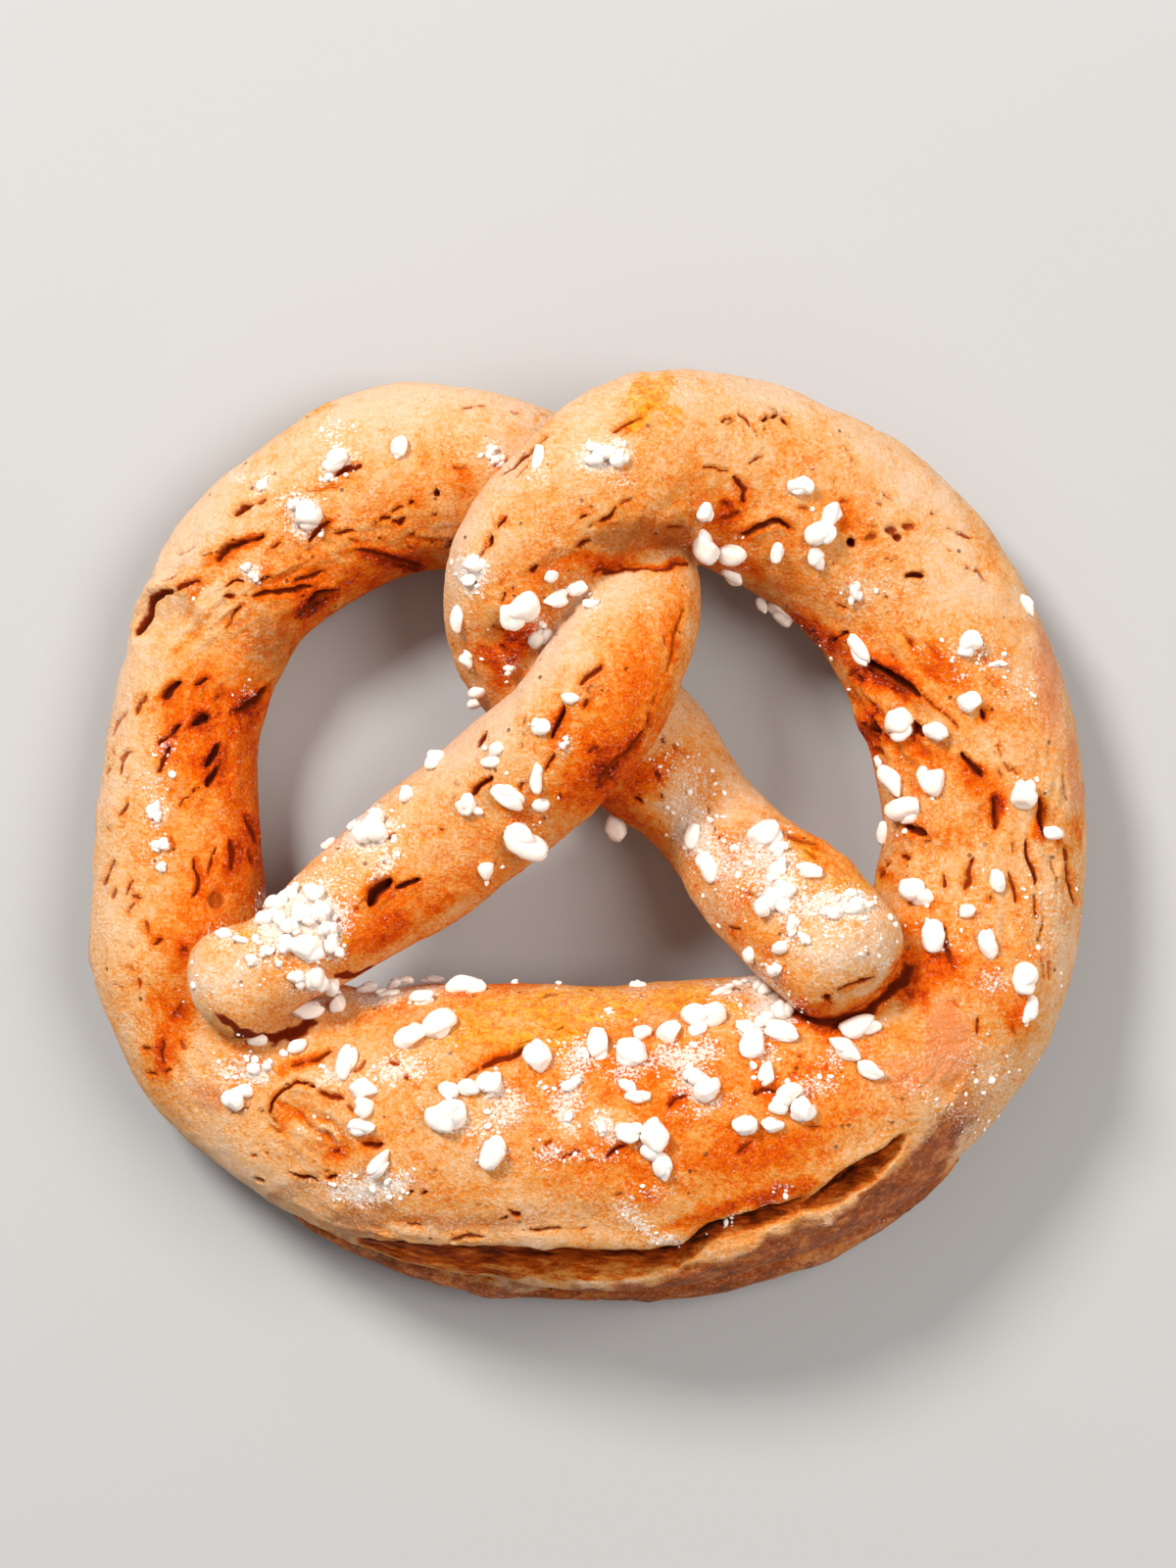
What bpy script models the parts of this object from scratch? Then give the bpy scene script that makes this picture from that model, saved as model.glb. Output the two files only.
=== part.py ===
"""Soft pretzel, hand twisted: one rope of dough with a thick belly, thin ends
that cross twice in the middle and lie pressed on the belly.

Metres, +Z up. The pretzel lies on its baked underside at z = 0, its shown side
up, the belly toward -Y and the loops toward +Y. The origin is on the underside,
below the middle of the bounding box.
"""
import math

import bmesh
import bpy
import numpy as np
from mathutils import Vector

# ---- driving dimensions ------------------------------------------------------
MM = 0.001
WIDTH = 0.125            # overall width, left arm to right arm
FLATTEN = 0.84           # rope height over rope width: dough sags as it bakes
REST_CUT = 0.0014        # how much of a resting rope is pressed flat below it
ROPE_STEP = 0.0030       # spacing of the rope's rings along its length
TIP_RINGS = 6            # rings that round each end of the rope
SKIN = 0.0015            # voxel size that melts the crossing ropes together
SKIN_SMOOTH = 0.5        # smoothing factor of the melted skin
SKIN_SMOOTH_STEPS = 3
FACET_SHARE = 0.19       # share of the skin's facets that is kept
BASE_BOX = 0.30          # side of the block that trims the underside flat
LIP_RADIUS = 0.0062      # thickness of the crust lip below the belly's split
LIP_HEIGHT = 0.0058      # height of the lip's middle
LIP_PROUD = 0.0033       # how far the lip stands out from the belly

# The rope from its left end, over the lower crossing, round the left loop,
# along the belly, round the right loop and under to its right end:
# place, x, y, height of the middle (None where the rope lies on the base),
# half width, all in millimetres.
ROPE = [
    ("left_tip", -43.4, -18.2, 21.5, 7.0),
    ("left_rest", -38.6, -15.4, 22.0, 6.3),
    ("left_slope", -32.6, -11.3, 20.0, 7.3),
    ("left_rise", -22.5, -4.0, 17.0, 8.8),
    ("left_climb", -13.0, 3.5, 18.5, 8.9),
    ("lower_cross_over", 0.5, 16.5, 25.0, 9.0),
    ("left_turn", 5.5, 28.0, 20.0, 8.7),
    ("left_dive", 1.5, 37.5, 13.5, 9.6),
    ("upper_cross_under", -6.5, 42.6, 11.0, 10.5),
    ("left_loop_top", -16.5, 45.0, None, 11.7),
    ("left_loop_bend", -27.0, 44.0, None, 11.8),
    ("left_shoulder", -42.5, 33.5, None, 10.8),
    ("left_arm_high", -48.0, 23.5, None, 9.9),
    ("left_arm", -51.5, 12.0, None, 9.8),
    ("left_arm_low", -52.0, -1.0, None, 10.7),
    ("left_corner_high", -51.0, -14.5, None, 11.5),
    ("left_corner", -45.0, -26.0, None, 12.4),
    ("belly_left", -33.5, -33.0, None, 14.6),
    ("belly_mid_left", -19.0, -36.0, None, 17.8),
    ("belly_middle", -3.5, -37.0, None, 18.7),
    ("belly_mid_right", 11.0, -37.0, None, 18.5),
    ("belly_right", 25.0, -34.5, None, 17.2),
    ("right_corner", 37.5, -28.0, None, 15.4),
    ("right_corner_high", 46.5, -17.0, None, 14.1),
    ("right_arm_low", 49.5, -4.5, None, 13.2),
    ("right_arm", 49.5, 7.0, None, 13.0),
    ("right_arm_high", 46.0, 20.0, None, 12.9),
    ("right_shoulder", 39.0, 32.0, None, 13.0),
    ("right_loop_bend", 30.0, 40.0, 12.0, 12.7),
    ("right_loop_top", 12.0, 46.5, 18.5, 11.6),
    ("upper_cross_over", 3.0, 44.5, 23.5, 10.6),
    ("right_turn", -9.5, 32.0, 21.5, 8.4),
    ("right_dive", -9.0, 23.5, 14.5, 8.1),
    ("lower_cross_under", 0.0, 16.0, 9.5, 8.9),
    ("right_emerge", 7.0, 11.0, 9.5, 8.9),
    ("right_run", 15.0, 2.0, 10.5, 7.2),
    ("right_slope", 20.5, -4.5, 15.0, 8.0),
    ("right_rest", 26.0, -9.5, 22.0, 8.7),
    ("right_tip", 31.4, -15.2, 25.6, 8.1),
]
LIP_FROM, LIP_TO = "belly_left", "right_corner"

# ---- clear the scene ---------------------------------------------------------
for old in list(bpy.data.objects):
    bpy.data.objects.remove(old, do_unlink=True)

scene = bpy.context.scene
pretzel_parts = bpy.data.collections.new("soft_pretzel")
cutters = bpy.data.collections.new("cutters")
scene.collection.children.link(pretzel_parts)
scene.collection.children.link(cutters)


# ---- the rope's path ---------------------------------------------------------
def rope_stations():
    """Stations in metres: x, y, z, half width. A resting rope's middle is at its half height less the pressed part."""
    rows = []
    for _, x, y, z, r in ROPE:
        r *= MM
        middle = FLATTEN * r - REST_CUT if z is None else z * MM
        rows.append((x * MM, y * MM, middle, r))
    return np.array(rows)


def smooth_path(rows, step, fine=40):
    """A centripetal Catmull-Rom curve through the rows, resampled at an even step along x, y, z."""
    ends = np.vstack([2 * rows[0] - rows[1], rows, 2 * rows[-1] - rows[-2]])
    pieces = []
    for p0, p1, p2, p3 in zip(ends[:-3], ends[1:-2], ends[2:-1], ends[3:]):
        knots = np.cumsum([0.0] + [np.linalg.norm((b - a)[:2]) ** 0.5 for a, b in ((p0, p1), (p1, p2), (p2, p3))])
        t0, t1, t2, t3 = knots
        t = np.linspace(t1, t2, fine, endpoint=False)[:, None]
        a1 = (t1 - t) / (t1 - t0) * p0 + (t - t0) / (t1 - t0) * p1
        a2 = (t2 - t) / (t2 - t1) * p1 + (t - t1) / (t2 - t1) * p2
        a3 = (t3 - t) / (t3 - t2) * p2 + (t - t2) / (t3 - t2) * p3
        b1 = (t2 - t) / (t2 - t0) * a1 + (t - t0) / (t2 - t0) * a2
        b2 = (t3 - t) / (t3 - t1) * a2 + (t - t1) / (t3 - t1) * a3
        pieces.append((t2 - t) / (t2 - t1) * b1 + (t - t1) / (t2 - t1) * b2)
    path = np.vstack(pieces + [rows[-1][None]])
    run = np.r_[0.0, np.cumsum(np.linalg.norm(np.diff(path[:, :3], axis=0), axis=1))]
    even = np.linspace(0.0, run[-1], int(round(run[-1] / step)) + 1)
    return np.stack([np.interp(even, run, path[:, k]) for k in range(4)], 1)


def rounded_tip(path, rings):
    """The path carried past its last point by a quarter circle whose rings shrink to nothing."""
    last, before = path[-1], path[-2]
    ahead = (last - before)[:3]
    ahead = ahead / np.linalg.norm(ahead)
    rows = []
    for i in range(1, rings + 1):
        turn = 0.5 * math.pi * i / (rings + 0.4)
        rows.append(np.r_[last[:3] + ahead * last[3] * 0.85 * math.sin(turn), last[3] * math.cos(turn)])
    return np.vstack([path] + [np.array(rows)])


def tube(name, path):
    """A poly curve of round section through the path, made a closed mesh and flattened in height."""
    data = bpy.data.curves.new(name, "CURVE")
    data.dimensions = "3D"
    data.bevel_depth = 1.0
    data.bevel_resolution = 5
    data.use_fill_caps = True
    data.twist_mode = "MINIMUM"
    line = data.splines.new("POLY")
    line.points.add(len(path) - 1)
    for point, (x, y, z, r) in zip(line.points, path):
        point.co = (x, y, z / FLATTEN, 1.0)
        point.radius = r
    guide = bpy.data.objects.new(name + "_guide", data)
    pretzel_parts.objects.link(guide)
    bpy.context.view_layer.update()
    evaluated = guide.evaluated_get(bpy.context.evaluated_depsgraph_get())
    mesh = bpy.data.meshes.new_from_object(evaluated)
    work = bmesh.new()
    work.from_mesh(mesh)
    bmesh.ops.remove_doubles(work, verts=work.verts, dist=0.00002)
    bmesh.ops.scale(work, vec=Vector((1.0, 1.0, FLATTEN)), verts=work.verts)
    bmesh.ops.recalc_face_normals(work, faces=work.faces)
    work.to_mesh(mesh)
    work.free()
    piece = bpy.data.objects.new(name, mesh)
    pretzel_parts.objects.link(piece)
    piece.matrix_world = guide.matrix_world
    bpy.data.objects.remove(guide, do_unlink=True)
    return piece


# ---- rope and crust lip ------------------------------------------------------
stations = rope_stations()
rope_path = smooth_path(stations, ROPE_STEP)
rope_path = rounded_tip(rope_path, TIP_RINGS)
rope_path = rounded_tip(rope_path[::-1], TIP_RINGS)[::-1]
rope = tube("pretzel", rope_path)

# Below the split that runs round the belly the crust bulges out as a lip: it
# follows the outer side of the belly, swelling from nothing and back.
place = [row[0] for row in ROPE]
belly = smooth_path(stations[place.index(LIP_FROM):place.index(LIP_TO) + 1], ROPE_STEP)
along = np.gradient(belly[:, :2], axis=0)
along /= np.linalg.norm(along, axis=1)[:, None]
outward = np.stack([along[:, 1], -along[:, 0]], 1)
share = np.linspace(0.0, 1.0, len(belly))
swell = np.sin(math.pi * share) ** 0.35
lip_radius = LIP_RADIUS * np.clip(swell, 0.25, 1.0)
reach = belly[:, 3] - lip_radius + LIP_PROUD * swell
lip_path = np.column_stack([belly[:, :2] + outward * reach[:, None], np.full(len(belly), LIP_HEIGHT), lip_radius])
lip = tube("crust_lip", lip_path)

work = bmesh.new()
work.from_mesh(rope.data)
work.from_mesh(lip.data)
work.to_mesh(rope.data)
work.free()
bpy.data.objects.remove(lip, do_unlink=True)

# ---- melt, trim, place -------------------------------------------------------
skin = rope.modifiers.new("skin", "REMESH")
skin.mode = "VOXEL"
skin.voxel_size = SKIN
skin.use_smooth_shade = True
soften = rope.modifiers.new("soften", "SMOOTH")
soften.factor = SKIN_SMOOTH
soften.iterations = SKIN_SMOOTH_STEPS
facets = rope.modifiers.new("facets", "DECIMATE")
facets.ratio = FACET_SHARE

bpy.ops.mesh.primitive_cube_add(size=BASE_BOX, location=(0.0, 0.0, -0.5 * BASE_BOX))
base_cut = bpy.context.active_object
base_cut.name = "base_cut"
for home in list(base_cut.users_collection):
    home.objects.unlink(base_cut)
cutters.objects.link(base_cut)
base_cut.hide_render = True
base_cut.display_type = "WIRE"
flat = rope.modifiers.new("flat_underside", "BOOLEAN")
flat.operation = "DIFFERENCE"
flat.solver = "EXACT"
flat.object = base_cut

# Width and centring are set on the trimmed skin, so that the box is exact.
bpy.context.view_layer.update()
evaluated = rope.evaluated_get(bpy.context.evaluated_depsgraph_get())
finished = bpy.data.meshes.new_from_object(evaluated)
points = np.array([v.co[:] for v in finished.vertices])
low, high = points.min(0), points.max(0)
size = WIDTH / (high[0] - low[0])
middle = 0.5 * (low + high)
rope.modifiers.clear()
rope.data = finished
work = bmesh.new()
work.from_mesh(finished)
bmesh.ops.translate(work, vec=Vector((-middle[0], -middle[1], 0.0)), verts=work.verts)
bmesh.ops.scale(work, vec=Vector((size, size, size)), verts=work.verts)
bmesh.ops.triangulate(work, faces=work.faces)
work.to_mesh(finished)
work.free()
rope.name = "pretzel"
finished.name = "pretzel"
finished.shade_smooth()
finished.set_sharp_from_angle(angle=math.radians(50.0))

# ---- baked crust -------------------------------------------------------------
crust = bpy.data.materials.new("baked_crust")
crust.use_nodes = True
shader = crust.node_tree.nodes["Principled BSDF"]
shader.inputs["Base Color"].default_value = (0.78, 0.42, 0.17, 1.0)
shader.inputs["Roughness"].default_value = 0.6
shader.inputs["Metallic"].default_value = 0.0
finished.materials.clear()
finished.materials.append(crust)
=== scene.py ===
import bpy, bmesh, math
import numpy as np
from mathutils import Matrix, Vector
from mathutils.bvhtree import BVHTree


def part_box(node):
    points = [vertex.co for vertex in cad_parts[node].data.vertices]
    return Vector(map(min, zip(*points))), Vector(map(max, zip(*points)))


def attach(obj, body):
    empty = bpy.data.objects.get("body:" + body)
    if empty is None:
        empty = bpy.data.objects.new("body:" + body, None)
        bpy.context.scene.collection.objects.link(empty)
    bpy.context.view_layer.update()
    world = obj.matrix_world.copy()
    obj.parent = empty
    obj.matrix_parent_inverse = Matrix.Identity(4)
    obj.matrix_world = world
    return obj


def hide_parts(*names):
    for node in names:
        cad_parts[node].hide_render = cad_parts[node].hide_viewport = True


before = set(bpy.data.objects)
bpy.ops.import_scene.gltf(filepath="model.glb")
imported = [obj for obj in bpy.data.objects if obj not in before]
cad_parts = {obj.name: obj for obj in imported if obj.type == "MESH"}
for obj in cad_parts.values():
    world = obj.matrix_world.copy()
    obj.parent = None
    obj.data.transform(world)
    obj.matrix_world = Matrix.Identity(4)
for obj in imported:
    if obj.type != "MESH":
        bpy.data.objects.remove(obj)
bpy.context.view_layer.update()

NODE_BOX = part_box("pretzel")
MM = 0.001

# ---------------------------------------------------------------------------
# Camera: the pretzel lies down, so the view that shows its face looks straight
# down. View coordinates (a, b) below are millimetres on the level plane VIEW_Z
# as the camera sees it, measured from the middle of the pretzel's box.
# ---------------------------------------------------------------------------
CAM_H = 600.0            # camera's height above the floor, mm
CAM_Y = 6.47             # its y, mm
VIEW_Z = 12.0
PX_MM = 0.1232           # width of one 1/1200 of the frame on that plane, mm

cam_data = bpy.data.cameras.new("camera")
cam_data.sensor_fit = "HORIZONTAL"
cam_data.sensor_width = 36.0
cam_data.lens = 36.0 * (CAM_H - VIEW_Z) / (1200.0 * PX_MM)
cam_data.clip_start = 0.01
cam_data.clip_end = 10.0
camera = bpy.data.objects.new("camera", cam_data)
camera.location = (0.0, CAM_Y * MM, CAM_H * MM)
camera.rotation_euler = (0.0, 0.0, 0.0)
bpy.context.scene.collection.objects.link(camera)
bpy.context.scene.camera = camera
CAM = np.array([0.0, CAM_Y, CAM_H])


def to_view(p):
    """Points in mm -> view coordinates (a, b)."""
    k = (CAM_H - VIEW_Z) / (CAM_H - p[:, 2])
    return np.stack([p[:, 0] * k, (p[:, 1] - CAM_Y) * k + CAM_Y], 1)


# ---------------------------------------------------------------------------
# Noise on numpy arrays
# ---------------------------------------------------------------------------
def lattice(i, j, k, seed):
    h = (i.astype(np.uint32) * np.uint32(374761393) + j.astype(np.uint32) * np.uint32(668265263)
         + k.astype(np.uint32) * np.uint32(2246822519) + np.uint32((seed * 3266489917 + 12345) % 4294967296))
    h ^= h >> np.uint32(15)
    h *= np.uint32(2246822519)
    h ^= h >> np.uint32(13)
    h *= np.uint32(3266489917)
    h ^= h >> np.uint32(16)
    return h.astype(np.float64) / 2147483647.5 - 1.0


def noise(p, size, seed=0):
    """Smooth value noise in -1..1 with features of about size, in the units of p."""
    q = np.asarray(p, float) / size
    base = np.floor(q)
    f = q - base
    f = f * f * f * (f * (f * 6.0 - 15.0) + 10.0)
    b = base.astype(np.int64)
    out = np.zeros(len(q))
    for dx in (0, 1):
        wx = f[:, 0] if dx else 1.0 - f[:, 0]
        for dy in (0, 1):
            wy = f[:, 1] if dy else 1.0 - f[:, 1]
            for dz in (0, 1):
                wz = f[:, 2] if dz else 1.0 - f[:, 2]
                out += wx * wy * wz * lattice(b[:, 0] + dx, b[:, 1] + dy, b[:, 2] + dz, seed)
    return out


def fbm(p, size, octaves=3, seed=0, gain=0.5):
    total, amp, norm = 0.0, 1.0, 0.0
    for o in range(octaves):
        total = total + amp * noise(p, size / 2.03 ** o, seed + 17 * o)
        norm += amp
        amp *= gain
    return total / norm * 1.6


def smooth01(x, lo, hi):
    t = np.clip((x - lo) / (hi - lo), 0.0, 1.0)
    return t * t * (3.0 - 2.0 * t)


# ---------------------------------------------------------------------------
# The rope of dough: place, x, y, middle's height (None where it lies on the
# base), half width, all mm
# ---------------------------------------------------------------------------
FLATTEN = 0.84
REST_CUT = 1.4
ROPE = [
    ("left_tip", -43.4, -18.2, 21.5, 7.0),
    ("left_rest", -38.6, -15.4, 22.0, 6.3),
    ("left_slope", -32.6, -11.3, 20.0, 7.3),
    ("left_rise", -22.5, -4.0, 17.0, 8.8),
    ("left_climb", -13.0, 3.5, 18.5, 8.9),
    ("lower_cross_over", 0.5, 16.5, 25.0, 9.0),
    ("left_turn", 5.5, 28.0, 20.0, 8.7),
    ("left_dive", 1.5, 37.5, 13.5, 9.6),
    ("upper_cross_under", -6.5, 42.6, 11.0, 10.5),
    ("left_loop_top", -16.5, 45.0, None, 11.7),
    ("left_loop_bend", -27.0, 44.0, None, 11.8),
    ("left_shoulder", -42.5, 33.5, None, 10.8),
    ("left_arm_high", -48.0, 23.5, None, 9.9),
    ("left_arm", -51.5, 12.0, None, 9.8),
    ("left_arm_low", -52.0, -1.0, None, 10.7),
    ("left_corner_high", -51.0, -14.5, None, 11.5),
    ("left_corner", -45.0, -26.0, None, 12.4),
    ("belly_left", -33.5, -33.0, None, 14.6),
    ("belly_mid_left", -19.0, -36.0, None, 17.8),
    ("belly_middle", -3.5, -37.0, None, 18.7),
    ("belly_mid_right", 11.0, -37.0, None, 18.5),
    ("belly_right", 25.0, -34.5, None, 17.2),
    ("right_corner", 37.5, -28.0, None, 15.4),
    ("right_corner_high", 46.5, -17.0, None, 14.1),
    ("right_arm_low", 49.5, -4.5, None, 13.2),
    ("right_arm", 49.5, 7.0, None, 13.0),
    ("right_arm_high", 46.0, 20.0, None, 12.9),
    ("right_shoulder", 39.0, 32.0, None, 13.0),
    ("right_loop_bend", 30.0, 40.0, 12.0, 12.7),
    ("right_loop_top", 12.0, 46.5, 18.5, 11.6),
    ("upper_cross_over", 3.0, 44.5, 23.5, 10.6),
    ("right_turn", -9.5, 32.0, 21.5, 8.4),
    ("right_dive", -9.0, 23.5, 14.5, 8.1),
    ("lower_cross_under", 0.0, 16.0, 9.5, 8.9),
    ("right_emerge", 7.0, 11.0, 9.5, 8.9),
    ("right_run", 15.0, 2.0, 10.5, 7.2),
    ("right_slope", 20.5, -4.5, 15.0, 8.0),
    ("right_rest", 26.0, -9.5, 22.0, 8.7),
    ("right_tip", 31.4, -15.2, 25.6, 8.1),
]
PLACE = [row[0] for row in ROPE]


def stations():
    rows = []
    for _, x, y, z, r in ROPE:
        rows.append((x, y, FLATTEN * r - REST_CUT if z is None else z, r))
    return np.array(rows)


def smooth_path(rows, step, fine=60):
    """Centripetal Catmull-Rom through the rows, resampled evenly; also returns each row's place along it."""
    ends = np.vstack([2 * rows[0] - rows[1], rows, 2 * rows[-1] - rows[-2]])
    pieces = []
    for p0, p1, p2, p3 in zip(ends[:-3], ends[1:-2], ends[2:-1], ends[3:]):
        t0, t1, t2, t3 = np.cumsum([0.0] + [np.linalg.norm((b - a)[:2]) ** 0.5 for a, b in ((p0, p1), (p1, p2), (p2, p3))])
        t = np.linspace(t1, t2, fine, endpoint=False)[:, None]
        a1 = (t1 - t) / (t1 - t0) * p0 + (t - t0) / (t1 - t0) * p1
        a2 = (t2 - t) / (t2 - t1) * p1 + (t - t1) / (t2 - t1) * p2
        a3 = (t3 - t) / (t3 - t2) * p2 + (t - t2) / (t3 - t2) * p3
        b1 = (t2 - t) / (t2 - t0) * a1 + (t - t0) / (t2 - t0) * a2
        b2 = (t3 - t) / (t3 - t1) * a2 + (t - t1) / (t3 - t1) * a3
        pieces.append((t2 - t) / (t2 - t1) * b1 + (t - t1) / (t2 - t1) * b2)
    path = np.vstack(pieces + [rows[-1][None]])
    run = np.r_[0.0, np.cumsum(np.linalg.norm(np.diff(path[:, :3], axis=0), axis=1))]
    even = np.linspace(0.0, run[-1], int(round(run[-1] / step)) + 1)
    out = np.stack([np.interp(even, run, path[:, k]) for k in range(path.shape[1])], 1)
    return out, even, run[np.arange(len(rows)) * fine]


def rounded(path, rings=10, bulge=0.8):
    last, before = path[-1], path[-2]
    ahead = (last - before)[:3]
    ahead = ahead / np.linalg.norm(ahead)
    rows = [np.r_[last[:3] + ahead * last[3] * bulge * math.sin(0.5 * math.pi * i / (rings + 0.3)),
                  last[3] * math.cos(0.5 * math.pi * i / (rings + 0.3)), last[4:]] for i in range(1, rings + 1)]
    return np.vstack([path, np.array(rows)])


def tube_mesh(path, sides=56, shape=None):
    """Rings about the path, flattened in height; returns points and faces."""
    n = len(path)
    c = path[:, :3].copy()
    c[:, 2] /= FLATTEN
    tan = np.gradient(c, axis=0)
    tan /= np.linalg.norm(tan, axis=1)[:, None]
    up = np.array([0.0, 0.0, 1.0])
    side = np.cross(tan, up)
    side /= np.linalg.norm(side, axis=1)[:, None]
    top = np.cross(side, tan)
    ang = np.linspace(0.0, 2.0 * math.pi, sides, endpoint=False)
    r = path[:, 3][:, None] * np.ones(sides)[None]
    if shape is not None:
        r = r * shape(np.arange(n), ang)
    pts = (c[:, None] + side[:, None] * (np.cos(ang)[None] * r)[..., None] + top[:, None] * (np.sin(ang)[None] * r)[..., None])
    pts = pts.reshape(-1, 3)
    pts[:, 2] *= FLATTEN
    faces = []
    for i in range(n - 1):
        for j in range(sides):
            k = (j + 1) % sides
            faces.append((i * sides + j, i * sides + k, (i + 1) * sides + k, (i + 1) * sides + j))
    faces.append(tuple(range(sides)))
    faces.append(tuple((n - 1) * sides + j for j in reversed(range(sides))))
    return pts, faces


def mesh_object(name, pts, faces):
    me = bpy.data.meshes.new(name)
    me.from_pydata([tuple(p) for p in pts], [], faces)
    me.update()
    bm = bmesh.new()
    bm.from_mesh(me)
    bmesh.ops.recalc_face_normals(bm, faces=bm.faces)
    bm.to_mesh(me)
    bm.free()
    ob = bpy.data.objects.new(name, me)
    bpy.context.scene.collection.objects.link(ob)
    return ob


def bake_modifiers(ob):
    bpy.context.view_layer.update()
    ev = ob.evaluated_get(bpy.context.evaluated_depsgraph_get())
    me = bpy.data.meshes.new_from_object(ev)
    ob.modifiers.clear()
    ob.data = me
    return me


def get_points(me):
    p = np.empty(len(me.vertices) * 3)
    me.vertices.foreach_get("co", p)
    return p.reshape(-1, 3)


def set_points(me, p):
    me.vertices.foreach_set("co", np.ascontiguousarray(p, dtype=np.float32).ravel())
    me.update()


def get_normals(me):
    n = np.empty(len(me.vertices) * 3)
    me.vertex_normals.foreach_get("vector", n)
    return n.reshape(-1, 3)


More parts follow.
